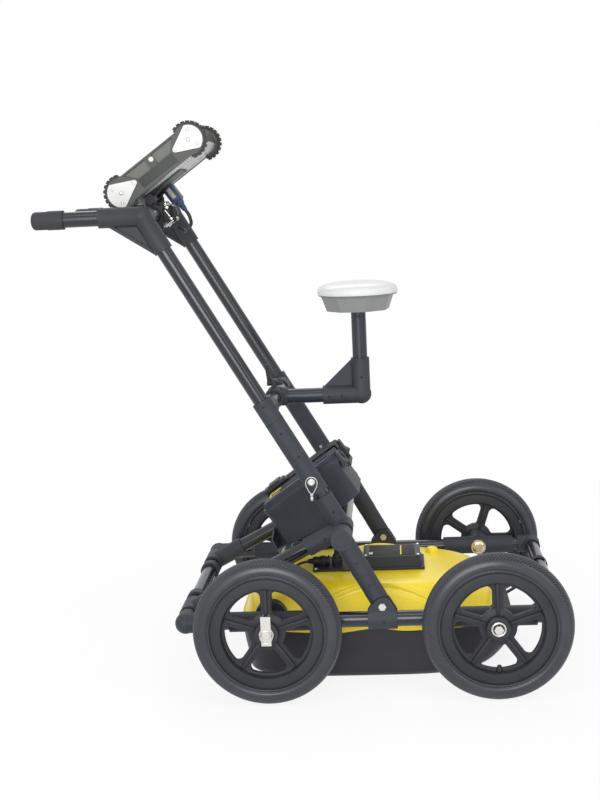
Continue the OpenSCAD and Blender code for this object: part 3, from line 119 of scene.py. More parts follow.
def setCamera():
    look = Vector((math.sin(camera["turn"]) * math.cos(camera["dip"]),
                   math.cos(camera["turn"]) * math.cos(camera["dip"]),
                   -math.sin(camera["dip"])))
    flat = Vector((math.cos(camera["turn"]), -math.sin(camera["turn"]), 0))
    high = flat.cross(look)
    c, s = math.cos(camera["roll"]), math.sin(camera["roll"])
    across, upward = c * flat + s * high, -s * flat + c * high
    data = bpy.data.cameras.new("photoCamera")
    data.sensor_width = camera["sensor"]
    data.lens = camera["focalPixels"] * camera["sensor"] / camera["longSide"]
    data.clip_start, data.clip_end = camera["clip"]
    turn = Matrix((across, upward, -look)).transposed().to_4x4()
    place = Matrix.Translation(Vector(camera["place"]) * mm) @ turn
    bpy.context.scene.camera = inScene("photoCamera", data, place)


setCamera()

# Light and floor

lamps = {
    "topSoftbox": dict(place=(0.2, -1.6, 3.7), aim=(0.0, 0.0, 0.5), size=(2.8, 0.7), power=20),
    "backSoftbox": dict(place=(-0.4, 2.4, 3.1), aim=(0.0, 0.0, 0.5), size=(2.4, 1.0), power=26),
    "frontFill": dict(place=(-0.25, -3.3, 1.2), aim=(0.0, 0.0, 0.5), size=(1.6, 1.7), power=50),
    "sideStrip": dict(place=(1.9, -1.9, 1.5), aim=(-0.1, -0.1, 0.6), size=(0.3, 2.0), power=6),
}
stage = dict(
    skyLight=0.68, floorHalf=7.0, floorColor=(0.93, 0.93, 0.93, 1),
    glowNear=0.86, glowFar=1.0, nearReach=0.7, farReach=1.9,
)


white = (1, 1, 1, 1)


def addLamp(name, spec):
    data = bpy.data.lights.new(name, "AREA")
    data.shape = "RECTANGLE"
    data.size, data.size_y = spec["size"]
    data.energy = spec["power"]
    place = Vector(spec["place"])
    inScene(name, data, facing(place, place - Vector(spec["aim"])))


def emptied(owner):  # the node tree of a world or a material, with nothing in it
    owner.use_nodes = True
    owner.node_tree.nodes.clear()
    return owner.node_tree


def seenRays(tree):  # 1 for rays that show the background: camera, glossy and transmission
    path = addNode(tree, "ShaderNodeLightPath")
    first, second = [addNode(tree, "ShaderNodeMath", operation="MAXIMUM") for _ in range(2)]
    link(tree, (path.outputs["Is Camera Ray"], first.inputs[0]),
         (path.outputs["Is Glossy Ray"], first.inputs[1]), (first.outputs[0], second.inputs[0]),
         (path.outputs["Is Transmission Ray"], second.inputs[1]))
    return second.outputs[0]


def mixInto(tree, share, first, second, output):  # the first shader gives way to the second by the share
    mix, out = addNode(tree, "ShaderNodeMixShader"), addNode(tree, output)
    link(tree, (share, mix.inputs[0]), (first.outputs[0], mix.inputs[1]),
         (second.outputs[0], mix.inputs[2]), (mix.outputs[0], out.inputs["Surface"]))


def setStage():
    world = bpy.data.worlds.new("paleStudio")
    bpy.context.scene.world = world
    tree = emptied(world)
    lit = addNode(tree, "ShaderNodeBackground", {"Color": white, "Strength": stage["skyLight"]})
    seen = addNode(tree, "ShaderNodeBackground", {"Color": white, "Strength": 1.0})
    mixInto(tree, seenRays(tree), lit, seen, "ShaderNodeOutputWorld")

    half = stage["floorHalf"]
    corners = [(-half, -half, 0), (half, -half, 0), (half, half, 0), (-half, half, 0)]
    mesh = bpy.data.meshes.new("floor")
    mesh.from_pydata(corners, [], [(0, 1, 2, 3)])
    paint = bpy.data.materials.new("paleFloor")
    tree = emptied(paint)
    matte = addNode(tree, "ShaderNodeBsdfDiffuse", {"Color": stage["floorColor"]})
    glow = addNode(tree, "ShaderNodeEmission", {"Color": white, "Strength": 1.0})
    place = addNode(tree, "ShaderNodeTexCoord")
    reach = addNode(tree, "ShaderNodeVectorMath", operation="LENGTH")
    spread = addNode(tree, "ShaderNodeMapRange",
                     {"From Min": stage["nearReach"], "From Max": stage["farReach"],
                      "To Min": stage["glowNear"], "To Max": stage["glowFar"]})
    share = addNode(tree, "ShaderNodeMath", operation="MULTIPLY")
    link(tree, (place.outputs["Object"], reach.inputs[0]), (reach.outputs["Value"], spread.inputs["Value"]),
         (seenRays(tree), share.inputs[0]), (spread.outputs["Result"], share.inputs[1]))
    mixInto(tree, share.outputs[0], matte, glow, "ShaderNodeOutputMaterial")
    mesh.materials.append(paint)
    inScene("floor", mesh)
    for name, spec in lamps.items():
        addLamp(name, spec)
    bpy.context.scene.view_settings.view_transform = "Standard"


setStage()
print("camera, lamps and floor set")

# Finishes: color and second are blended by broad blotches, rough is the range that the grain gives

looks = {
    "tubeGloss": dict(
        slot="tube", color=(0.007, 0.009, 0.014), second=(0.010, 0.012, 0.018), sheen=0.6,
        rough=(0.2, 0.24), grain=160, bump=0.002, depth=0.0001, blotch=6),
    "mastPaint": dict(
        slot="tube", color=(0.022, 0.028, 0.042), second=(0.028, 0.034, 0.048), sheen=0.35,
        rough=(0.28, 0.34), grain=300, bump=0.02, depth=0.0001, blotch=8),
    "fittingPlastic": dict(
        slot="fitting", color=(0.032, 0.036, 0.047), second=(0.040, 0.045, 0.057), sheen=0.3,
        rough=(0.5, 0.64), grain=900, bump=0.1, depth=0.0003, blotch=14),
    "elbowPlastic": dict(
        slot="fitting", color=(0.028, 0.030, 0.034), second=(0.035, 0.037, 0.041), sheen=0.35,
        rough=(0.46, 0.6), grain=900, bump=0.1, depth=0.0003, blotch=14),
    "gripRubber": dict(
        slot="rubber", color=(0.022, 0.023, 0.026), second=(0.03, 0.031, 0.035),
        rough=(0.55, 0.75), grain=700, bump=0.25, depth=0.0004, blotch=20),
    "tyreRubber": dict(
        slot="tyre", color=(0.027, 0.029, 0.038), second=(0.036, 0.039, 0.049),
        rough=(0.25, 0.36), grain=520, bump=0.06, depth=0.0003, blotch=11),
    "rimPlastic": dict(
        slot="fitting", color=(0.020, 0.021, 0.026), second=(0.027, 0.028, 0.034), sheen=0.35,
        rough=(0.44, 0.58), grain=800, bump=0.16, depth=0.0003, blotch=16),
    "boltSteel": dict(
        slot="steel", color=(0.70, 0.69, 0.67), second=(0.60, 0.59, 0.57), metallic=0.7,
        rough=(0.22, 0.4), grain=600, bump=0.08, depth=0.0002, blotch=90),
    "brassZinc": dict(
        slot="steel", color=(0.82, 0.69, 0.40), second=(0.74, 0.60, 0.32), metallic=1.0,
        rough=(0.16, 0.28), grain=500, bump=0.08, depth=0.0002, blotch=80),
    "shellYellow": dict(
        slot="yellow", color=(0.90, 0.70, 0.018), second=(0.87, 0.665, 0.015),
        rough=(0.28, 0.4), grain=520, bump=0.05, depth=0.0003, blotch=5, coat=(0.12, 0.15)),
    "skidBlack": dict(
        slot="fitting", color=(0.021, 0.021, 0.027), second=(0.029, 0.029, 0.036), sheen=0.35,
        rough=(0.4, 0.56), grain=620, bump=0.14, depth=0.0003, blotch=6),
    "casePlastic": dict(
        slot="case", color=(0.029, 0.033, 0.045), second=(0.038, 0.043, 0.056), sheen=0.3,
        rough=(0.48, 0.62), grain=1300, bump=0.3, depth=0.0003, blotch=12, cells=True),
    "trayPaint": dict(
        slot="tray", color=(0.060, 0.075, 0.105), second=(0.072, 0.088, 0.120),
        rough=(0.34, 0.5), grain=600, bump=0.12, depth=0.0003, blotch=15),
    "receiverGrey": dict(
        slot="grey", color=(0.215, 0.228, 0.224), second=(0.235, 0.248, 0.244),
        rough=(0.38, 0.5), grain=900, bump=0.14, depth=0.0003, blotch=12),
    "domeWhite": dict(
        slot="white", color=(0.68, 0.685, 0.695), second=(0.66, 0.665, 0.675),
        rough=(0.3, 0.4), grain=600, bump=0.03, depth=0.0002, blotch=8, coat=(0.1, 0.15)),
    "clampBlack": dict(
        slot="fitting", color=(0.018, 0.019, 0.022), second=(0.026, 0.027, 0.031), sheen=0.3,
        rough=(0.4, 0.55), grain=700, bump=0.12, depth=0.0003, blotch=25),
    "castingOlive": dict(
        slot="casting", color=(0.048, 0.052, 0.048), second=(0.058, 0.062, 0.056),
        rough=(0.4, 0.56), grain=1100, bump=0.22, depth=0.0003, blotch=18),
    "fieldOlive": dict(
        slot="casting", color=(0.105, 0.110, 0.096), second=(0.130, 0.135, 0.118),
        rough=(0.42, 0.58), grain=1100, bump=0.22, depth=0.0003, blotch=18),
    "coverDark": dict(
        slot="case", color=(0.026, 0.028, 0.028), second=(0.034, 0.036, 0.036),
        rough=(0.46, 0.6), grain=1000, bump=0.18, depth=0.0003, blotch=22),
    "plateWhite": dict(
        slot="plate", color=(0.74, 0.74, 0.73), second=(0.71, 0.71, 0.70), sheen=0.3,
        rough=(0.36, 0.5), grain=800, bump=0.06, depth=0.0002, blotch=25),
    "caseSilver": dict(
        slot="silver", color=(0.42, 0.43, 0.425), second=(0.36, 0.37, 0.365), metallic=0.75,
        rough=(0.26, 0.42), grain=400, bump=0.06, depth=0.0002, blotch=10, stretch=(1, 40, 40)),
    "screenGlass": dict(
        slot="screen", color=(0.012, 0.015, 0.018), second=(0.016, 0.02, 0.024),
        rough=(0.05, 0.12), grain=300, bump=0.01, depth=0.0001, blotch=6, coat=(0.6, 0.03)),
    "buttonRed": dict(
        slot="button", color=(0.42, 0.03, 0.02), second=(0.36, 0.025, 0.018),
        rough=(0.35, 0.5), grain=900, bump=0.1, depth=0.0002, blotch=60),
    "hoodBlue": dict(
        slot="hood", color=(0.022, 0.05, 0.125), second=(0.03, 0.062, 0.15),
        rough=(0.36, 0.52), grain=1000, bump=0.16, depth=0.0003, blotch=40),
    "latchBeige": dict(
        slot="grey", color=(0.55, 0.5, 0.4), second=(0.5, 0.45, 0.36),
        rough=(0.4, 0.55), grain=900, bump=0.12, depth=0.0002, blotch=60),
    "cordBlack": dict(
        slot="cord", color=(0.014, 0.014, 0.016), second=(0.02, 0.02, 0.022),
        rough=(0.4, 0.55), grain=900, bump=0.15, depth=0.0002, blotch=30),
    "webbing": dict(
        slot="webbing", color=(0.014, 0.014, 0.017), second=(0.024, 0.024, 0.028),
        rough=(0.7, 0.9), grain=1500, bump=0.3, depth=0.0004, blotch=20, weave=420),
    "labelPlain": dict(
        slot="case", color=(0.007, 0.007, 0.009), second=(0.011, 0.011, 0.013), sheen=0.2,
        rough=(0.5, 0.62), grain=700, bump=0.04, depth=0.0001, blotch=30),
    "labelYellow": dict(
        slot="yellow", color=(0.88, 0.68, 0.03), second=(0.80, 0.60, 0.03),
        rough=(0.4, 0.55), grain=700, bump=0.08, depth=0.0002, blotch=40),
    "seamDark": dict(
        slot="fitting", color=(0.010, 0.011, 0.013), second=(0.015, 0.016, 0.019),
        rough=(0.5, 0.7), grain=900, bump=0.1, depth=0.0002, blotch=30),
    "labelWhite": dict(
        slot="white", color=(0.62, 0.62, 0.6), second=(0.56, 0.56, 0.54),
        rough=(0.4, 0.55), grain=700, bump=0.06, depth=0.0001, blotch=40),
    "batteryCore": dict(
        slot="core", color=(0.04, 0.044, 0.05), second=(0.055, 0.06, 0.068),
        rough=(0.5, 0.65), grain=600, bump=0.1, depth=0.0002, blotch=20),
}
finishes = {}


grainSet = dict(broadDetail=4, fineDetail=3, noiseRough=0.6, ramp=(0.36, 0.66), share=0.5,
                spread=(0.36, 0.64), weaveBend=0.6)


def makeFinish(name, look):
    spec = grainSet
    paint = bpy.data.materials.new(name)
    paint.use_nodes = True
    tree = paint.node_tree
    shader = tree.nodes["Principled BSDF"]
    place = addNode(tree, "ShaderNodeTexCoord")
    mapping = addNode(tree, "ShaderNodeMapping", {"Scale": look.get("stretch", (1, 1, 1))})
    link(tree, (place.outputs["Object"], mapping.inputs["Vector"]))

    def texture(kind, output, inputs, **settings):
        node = addNode(tree, kind, inputs, **settings)
        link(tree, (mapping.outputs["Vector"], node.inputs["Vector"]))
        return node.outputs[output]

    def noise(scale, detail):
        return texture("ShaderNodeTexNoise", "Fac",
                       {"Scale": scale, "Detail": detail, "Roughness": spec["noiseRough"]})

    broad, fine = noise(look["blotch"], spec["broadDetail"]), noise(look["grain"], spec["fineDetail"])
    blend = addNode(tree, "ShaderNodeValToRGB")
    for stop, where, key in zip(blend.color_ramp.elements, spec["ramp"], ("color", "second")):
        stop.position, stop.color = where, (*look[key], 1)
    half = addNode(tree, "ShaderNodeMath", {1: spec["share"]}, operation="MULTIPLY")
    both = addNode(tree, "ShaderNodeMath", {1: spec["share"]}, operation="MULTIPLY_ADD")
    low, high = spec["spread"]
    smooth, coarse = look["rough"]
    spread = addNode(tree, "ShaderNodeMapRange",
                     {"From Min": low, "From Max": high, "To Min": smooth, "To Max": coarse})
    link(tree, (broad, blend.inputs["Fac"]), (blend.outputs["Color"], shader.inputs["Base Color"]),
         (broad, half.inputs[0]), (fine, both.inputs[0]), (half.outputs[0], both.inputs[2]),
         (both.outputs[0], spread.inputs["Value"]), (spread.outputs["Result"], shader.inputs["Roughness"]))

    height = fine
    if look.get("cells"):  # moulded pebble grain
        height = texture("ShaderNodeTexVoronoi", "Distance", {"Scale": look["grain"]}, feature="SMOOTH_F1")
    if look.get("weave"):  # crossed ribs of a woven band
        product = addNode(tree, "ShaderNodeMath", operation="MULTIPLY")
        for k, direction in enumerate(("X", "Z")):
            inputs = {"Scale": look["weave"], "Distortion": spec["weaveBend"]}
            ribs = texture("ShaderNodeTexWave", "Fac", inputs, bands_direction=direction)
            link(tree, (ribs, product.inputs[k]))
        height = product.outputs[0]
    bump = addNode(tree, "ShaderNodeBump", {"Strength": look["bump"], "Distance": look["depth"]})
    link(tree, (height, bump.inputs["Height"]), (bump.outputs["Normal"], shader.inputs["Normal"]))
    values = {"Metallic": look.get("metallic", 0.0), "Specular IOR Level": look.get("sheen", 0.5)}
    if "coat" in look:
        values["Coat Weight"], values["Coat Roughness"] = look["coat"]
    for key, value in values.items():
        shader.inputs[key].default_value = value
    finishes[name] = paint


for name, look in looks.items():
    makeFinish(name, look)
print("finishes made:", len(finishes))

nodeFinish = {
    "tubeGloss": ["side_rails", "cross_tubes", "rear_arms", "upright_tubes", "handle_tubes"],
    "mastPaint": ["receiver_tubes"],
    "fittingPlastic": ["corner_elbows", "axle_sleeves", "pivot_brackets", "leg_fittings", "upright_sockets",
                       "rear_fittings", "handle_sleeves", "receiver_tee", "receiver_elbow"],
    "elbowPlastic": ["handle_elbows"],
    "gripRubber": ["grips", "bumpers"],
    "tyreRubber": ["left_rear_tyre", "right_rear_tyre", "left_front_tyre", "right_front_tyre"],
    "rimPlastic": ["left_rear_rim", "right_rear_rim", "left_front_rim", "right_front_rim"],
    "boltSteel": ["frame_bolts", "left_release_pin", "right_release_pin", "drive_dog"],
    "trayPaint": ["battery_tray"],
    "receiverGrey": ["receiver_body"],
    "domeWhite": ["receiver_dome"],
    "clampBlack": ["display_clamp", "display_yoke", "clamp_lever", "tilt_knob", "odometer", "sensor_plugs",
                   "connector_plate"],
    "castingOlive": ["end_castings"],
    "plateWhite": ["corner_plates"],
    "caseSilver": ["display_case"],
    "screenGlass": ["display_screen"],
    "buttonRed": ["power_button"],
    "hoodBlue": ["cable_plug"],
    "cordBlack": ["display_cable", "sensor_cables"],
    "casePlastic": ["case_base", "case_lid", "left_latch", "right_latch", "case_handle", "control_module"],
    "batteryCore": ["battery_pack", "antenna_unit"],
    "webbing": ["lid_strap", "pull_straps"],
    "shellYellow": ["sensor_shell"],
    "skidBlack": ["skid_tub"],
}
for finish, members in nodeFinish.items():
    for node in members:
        mesh = nodes[node].data
        if not mesh.materials:
            mesh.materials.append(finishes[finish])
        for k in range(len(mesh.materials)):
            mesh.materials[k] = finishes[finish]
print("finishes on", sum(len(m) for m in nodeFinish.values()), "nodes")

# Making pieces


def addPiece(name, points, faces, finish, body, place=None, crease=35):
    mesh = bpy.data.meshes.new(name)
    mesh.from_pydata([tuple(p) for p in points], [], faces)
    mesh.validate()
    mesh.shade_smooth()
    mesh.set_sharp_from_angle(angle=math.radians(crease))
    mesh.materials.append(finishes[finish])
    obj = inScene(name, mesh, place)
    if body:
        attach(obj, body)
    return obj


def skin(rings, caps=True):  # faces over rings of equal length
    count = len(rings[0])
    points = [p for ring in rings for p in ring]
    faces = []
    for r in range(len(rings) - 1):
        for i in range(count):
            j = (i + 1) % count
            faces.append((r * count + i, r * count + j, (r + 1) * count + j, (r + 1) * count + i))
    if caps:
        faces.append(tuple(range(count - 1, -1, -1)))
        faces.append(tuple((len(rings) - 1) * count + i for i in range(count)))
    return points, faces


def merged(parts):  # parts are (points, faces, matrix); one mesh of them all
    points, faces = [], []
    for some, their, matrix in parts:
        start = len(points)
        points += [matrix @ Vector(p) for p in some]
        faces += [tuple(start + i for i in f) for f in their]
    return points, faces


def smoothPath(points, step):  # a curve through the points, with points about a step apart
    points = [Vector(p) for p in points]
    line = []
    for i in range(len(points) - 1):
        a, b = points[max(i - 1, 0)], points[i]
        c, d = points[i + 1], points[min(i + 2, len(points) - 1)]
        count = max(1, round((c - b).length / step))
        for k in range(count):
            t = k / count
            line.append(0.5 * (2 * b + (c - a) * t + (2 * a - 5 * b + 4 * c - d) * t * t
                               + (3 * b - a - 3 * c + d) * t ** 3))
    return line + [points[-1]]


def swept(line, outline):  # carries a flat outline along a line without twisting
    side = (line[1] - line[0]).orthogonal().normalized()
    rings = []
    for i, p in enumerate(line):
        ahead = (line[min(i + 1, len(line) - 1)] - line[max(i - 1, 0)]).normalized()
        side = (side - side.dot(ahead) * ahead).normalized()
        other = ahead.cross(side)
        rings.append([p + u * side + v * other for u, v in outline])
    return skin(rings)


def circle(radius, steps):
    return [polar(radius, 2 * math.pi * i / steps) for i in range(steps)]


def revolved(loop, steps):  # a closed loop of (radius, height) carried round Z
    points = [(*polar(r * mm, 2 * math.pi * i / steps), h * mm) for i in range(steps) for r, h in loop]
    count, faces = len(loop), []
    for i in range(steps):
        for k in range(count):
            a, b = i * count, (i + 1) % steps * count
            faces.append((a + k, b + k, b + (k + 1) % count, a + (k + 1) % count))
    return points, faces


def turnedMm(profile, steps=32):  # a closed turned body; the profile runs (radius, height)
    return skin([[(*polar(r * mm, 2 * math.pi * i / steps), h * mm) for i in range(steps)]
                 for r, h in profile])


def block(long, wide, high, edge):  # a box with rounded edges about its middle
    shape = bmesh.new()
    bmesh.ops.create_cube(shape, size=mm)
    bmesh.ops.scale(shape, vec=(long, wide, high), verts=shape.verts)
    bmesh.ops.bevel(shape, geom=shape.edges[:], offset=edge * mm, segments=3, profile=0.5, affect="EDGES")
    shape.verts.index_update()
    points = [v.co.copy() for v in shape.verts]
    faces = [tuple(v.index for v in f.verts) for f in shape.faces]
    shape.free()
    return points, faces


def slab(outline, low, high, edge):  # a flat outline between two heights, with eased edges
    cx = sum(p[0] for p in outline) / len(outline)
    cy = sum(p[1] for p in outline) / len(outline)
    size = max(math.hypot(x - cx, y - cy) for x, y in outline)
    rings = []
    for inset, h in ((edge, low), (0, low + edge), (0, high - edge), (edge, high)):
        k = 1 - inset / size
        rings.append([((cx + (x - cx) * k) * mm, (cy + (y - cy) * k) * mm, h * mm) for x, y in outline])
    return skin(rings)


def shift(x, y, z):
    return Matrix.Translation(Vector((x, y, z)) * mm)


def tubeOf(points, radius, step=2.0):  # a round bar through points in metres
    return swept(smoothPath(points, step * mm), circle(radius * mm, 10))


def screwHead(radius):  # a domed head with a socket
    r = radius
    return turnedMm([(r, 0), (r, 0.3 * r), (0.86 * r, 0.58 * r), (0.5 * r, 0.72 * r), (0.46 * r, 0.7 * r),
                     (0.42 * r, 0.25 * r), (0.01, 0.25 * r)], 20)


# Rounded edges on the moulded and cast nodes

softEdges = {
    1.6: ["receiver_body", "case_base", "case_lid", "control_module", "display_case"],
    0.9: ["end_castings", "left_latch", "right_latch", "case_handle", "connector_plate", "display_yoke",
          "pivot_brackets", "tilt_knob", "odometer", "clamp_lever"],
    0.5: ["corner_plates", "bumpers", "battery_tray", "drive_dog"],
}


edgeSet = dict(joinWithin=0.00001, steep=34, bevelOver=38, segments=2)


def smoothFaces():  # joins the faces and shades them smooth, but for edges steeper than the limit
    tree = bpy.data.node_groups.new("smoothFaces", "GeometryNodeTree")
    for way in ("INPUT", "OUTPUT"):
        tree.interface.new_socket("Geometry", in_out=way, socket_type="NodeSocketGeometry")
    first, last = addNode(tree, "NodeGroupInput"), addNode(tree, "NodeGroupOutput")
    join = addNode(tree, "GeometryNodeMergeByDistance", {"Distance": edgeSet["joinWithin"]})
    soft = addNode(tree, "GeometryNodeSetShadeSmooth")
    turn = addNode(tree, "GeometryNodeInputMeshEdgeAngle")
    limit = math.radians(edgeSet["steep"])
    steep = addNode(tree, "FunctionNodeCompare", {1: limit}, operation="GREATER_THAN")
    sharp = addNode(tree, "GeometryNodeSetShadeSmooth", {"Shade Smooth": False}, domain="EDGE")
    link(tree, (turn.outputs[0], steep.inputs[0]), (steep.outputs[0], sharp.inputs["Selection"]),
         (first.outputs[0], join.inputs["Geometry"]), (join.outputs[0], soft.inputs[0]),
         (soft.outputs[0], sharp.inputs[0]), (sharp.outputs[0], last.inputs[0]))
    return tree


def softenEdges():
    shading = smoothFaces()
    for node in nodes.values():
        node.modifiers.new("smoothFaces", "NODES").node_group = shading
    for width, members in softEdges.items():
        for node in members:
            bevel = nodes[node].modifiers.new("easedEdges", "BEVEL")
            bevel.width = width * mm
            bevel.segments = edgeSet["segments"]
            bevel.limit_method = "ANGLE"
            bevel.angle_limit = math.radians(edgeSet["bevelOver"])
            bevel.harden_normals = True


softenEdges()

# Tyres with a fine block tread

tyreSet = dict(
    crownRadius=127.0, roundness=23.0, blocks=132, stepsPerBlock=6, grooveDepth=1.4, sipeDepth=0.8,
    grooveShare=0.36, slant=0.055, ringGroove=(11.0, 14.5), ringShare=0.8, treadEdge=55.0, pastEdge=1,
    treadSteps=19, crease=28,
    sideWall=[(114.7, 18.6), (114.7, 20.4), (115.3, 21.6), (116.4, 22.4), (117.6, 22.5), (118.6, 21.8),
              (119.3, 20.7), (120.2, 20.3), (121.2, 20.8), (122.6, 22.0), (124.4, 22.8), (127.0, 23.0),
              (129.6, 22.84), (132.4, 22.35), (135.2, 21.5), (137.8, 20.3)],
)


def treadDepth(turn, slope):  # slope is the angle from the middle of the tread, in degrees
    spec, away = tyreSet, abs(slope)
    low, high = spec["ringGroove"]
    offset = 0.5 if slope < 0 else 0
    share = (turn * spec["blocks"] / (2 * math.pi) + spec["slant"] * away + offset) % 1
    if low <= away <= high:
        return spec["grooveDepth"] * spec["ringShare"]
    if away < low:
        return spec["sipeDepth"] if share < spec["grooveShare"] else 0
    return spec["grooveDepth"] if share < spec["grooveShare"] and away < spec["treadEdge"] else 0


def makeTyres():
    spec = tyreSet
    steps, reach = spec["blocks"] * spec["stepsPerBlock"], spec["treadEdge"] + spec["pastEdge"]
    slopes = [-reach + 2 * reach * k / (2 * spec["treadSteps"]) for k in range(2 * spec["treadSteps"] + 1)]
    rings = []
    for i in range(steps):
        turn = 2 * math.pi * i / steps
        section = [(r, -y) for r, y in spec["sideWall"]]
        for slope in slopes:
            x, y = polar(spec["roundness"] - treadDepth(turn, slope), math.radians(slope))
            section.append((spec["crownRadius"] + x, y))
        section += [(r, y) for r, y in reversed(spec["sideWall"])]
        rings.append([(r * mm * math.sin(turn), y * mm, r * mm * math.cos(turn)) for r, y in section])
    count = len(rings[0])
    points = [p for ring in rings for p in ring]
    faces = []
    for r in range(steps):
        s = (r + 1) % steps
        for i in range(count):
            j = (i + 1) % count
            faces.append((r * count + i, s * count + i, s * count + j, r * count + j))
    shared = None
    for side in sides:
        for end in ("rear", "front"):
            name, node = f"treadTyre_{side}_{end}", f"{side}_{end}_tyre"
            place = Matrix.Translation(middleOf(node))
            if shared is None:
                obj = addPiece(name, points, faces, "tyreRubber", None, place, spec["crease"])
                shared = obj.data
            else:
                obj = inScene(name, shared, place)
            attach(obj, f"{side}_{end}_wheel")
            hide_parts(node)


makeTyres()
print("tyres made")

# Rims with five windows, hub rings, valve, clip and brass washers

rimSet = dict(
    spokes=5, spokeHalf=10.6, inner=36.5, outer=87.4, corners=(12.5, 8.5), webHalf=5.0, ease=0.9,
    arcs=14, bows=12, hollows=8, webFrom=20.0, webPast=4, outside=24, inside=10, ringSteps=120, hubSteps=60,
    ring=[(86.0, 5.0), (90.2, 5.8), (91.6, 8.0), (92.4, 17.6), (93.6, 19.0), (111.0, 19.4), (112.4, 18.9),
          (113.0, 18.0), (114.3, 18.0)],
    hub=[(37.5, 5.0), (28.5, 6.6), (25.4, 9.5), (24.4, 19.5), (23.4, 21.4), (21.6, 22.0), (16.4, 22.0),
         (15.4, 20.8), (6.15, 20.8)],
    rib=(66.0, 6.6, 22.0, 1.2), ribFrom=24.0, turnLeftFront=18.0, crease=40,
)
wheelSet = dict(
    axleHigh=150.0, wheelY=338.0, frontX=459.0, hubFace=20.8, railFace=252.5,
    hubRing=[(11.2, -0.4), (11.4, 1.6), (13.0, 2.3), (14.6, 1.6), (14.9, -0.4)],
    valve=[(6.0, 0), (6.0, 5), (5.0, 6.4), (4.4, 11), (3.4, 12), (0.01, 12)], valveReach=90.0, valveSide=7.0,
    washer=[(6.4, 0), (17.9, 0), (17.9, 1.0), (16.6, 3.2), (13.6, 5.4), (10.0, 6.7), (6.4, 7.2)],
    clipRadius=12.6, clipWire=0.85, clipDrop=3.0, clipOut=364.4, clipAxis=(0.06, -1, 0.04), dogFace=363.25,
    dogNut=[(6.05, 0), (9.6, 0), (9.6, 1.7), (8.6, 2.8), (6.05, 2.95)],
)


def windowLoop(grow):  # one window's outline on the bisector of two spokes, with rounded corners
    spec = rimSet
    half = math.pi / spec["spokes"]
    edge, low, high = spec["spokeHalf"] - grow, spec["inner"] - grow, spec["outer"] + grow
    loop = []
    for sign, corner in zip((1, -1), spec["corners"]):
        r = corner + grow
        reach = high - r if sign > 0 else low + r
        turn = half - math.asin((edge + r) / reach)
        x, y = polar(reach, turn)
        side = half + math.pi / 2
        start, stop = (turn, side) if sign > 0 else (side, turn + math.pi)
        arc = [polar(r, start + (stop - start) * k / spec["arcs"]) for k in range(spec["arcs"] + 1)]
        loop.append([(x + u, y + v) for u, v in arc])
    outer, inner = loop

    def across(corner, radius, steps):  # the arc that joins a corner to the one below it
        turn = math.atan2(corner[1], corner[0])
        return [polar(radius, turn * (1 - 2 * k / steps)) for k in range(1, steps)]

    upper = outer + inner
    lower = [(x, -y) for x, y in reversed(upper)]
    bow = [(x, -y) for x, y in across(outer[0], high, spec["bows"])]
    return upper + across(inner[-1], low, spec["hollows"]) + lower + bow


def rimMesh():  # axis along Z
    spec = rimSet
    pitch = 2 * math.pi / spec["spokes"]
    parts = []
    for profile, steps in ((spec["ring"], spec["ringSteps"]), (spec["hub"], spec["hubSteps"])):
        loop = profile + [(r, -h) for r, h in reversed(profile)]
        parts.append((*revolved(loop, steps), Matrix.Identity(4)))
    levels = [(spec["webHalf"], spec["ease"]), (spec["webHalf"] - spec["ease"], 0),
              (spec["ease"] - spec["webHalf"], 0), (-spec["webHalf"], spec["ease"])]
    low, high, half = spec["webFrom"], spec["ring"][0][0] + spec["webPast"], pitch / 2
    border = [(high, half - pitch * j / spec["outside"]) for j in range(spec["outside"] + 1)]
    border += [(low, -half + pitch * j / spec["inside"]) for j in range(spec["inside"] + 1)]
    rim = [Vector((*polar(r * mm, a), 0)) for r, a in border]
    long, wide, tall, edge = spec["rib"]
    for k in range(spec["spokes"]):
        turn = Matrix.Rotation(k * pitch, 4, "Z")
        walls = [[(x * mm, y * mm, h * mm) for x, y in windowLoop(grow)] for h, grow in levels]
        parts.append((*skin(walls, False), turn))
        loop = [Vector((x * mm, y * mm, 0)) for x, y in windowLoop(spec["ease"])]
        faces = tessellate_polygon([rim, loop])
        for sign in (1, -1):
            flat = [(p.x, p.y, sign * spec["webHalf"] * mm) for p in rim + loop]
            parts.append((flat, [f if sign < 0 else f[::-1] for f in faces], turn))
        place = Matrix.Rotation((k + 0.5) * pitch, 4, "Z") @ shift(spec["ribFrom"] + long / 2, 0, 0)
        parts.append((*block(long, wide, tall, edge), place))
    return merged(parts)


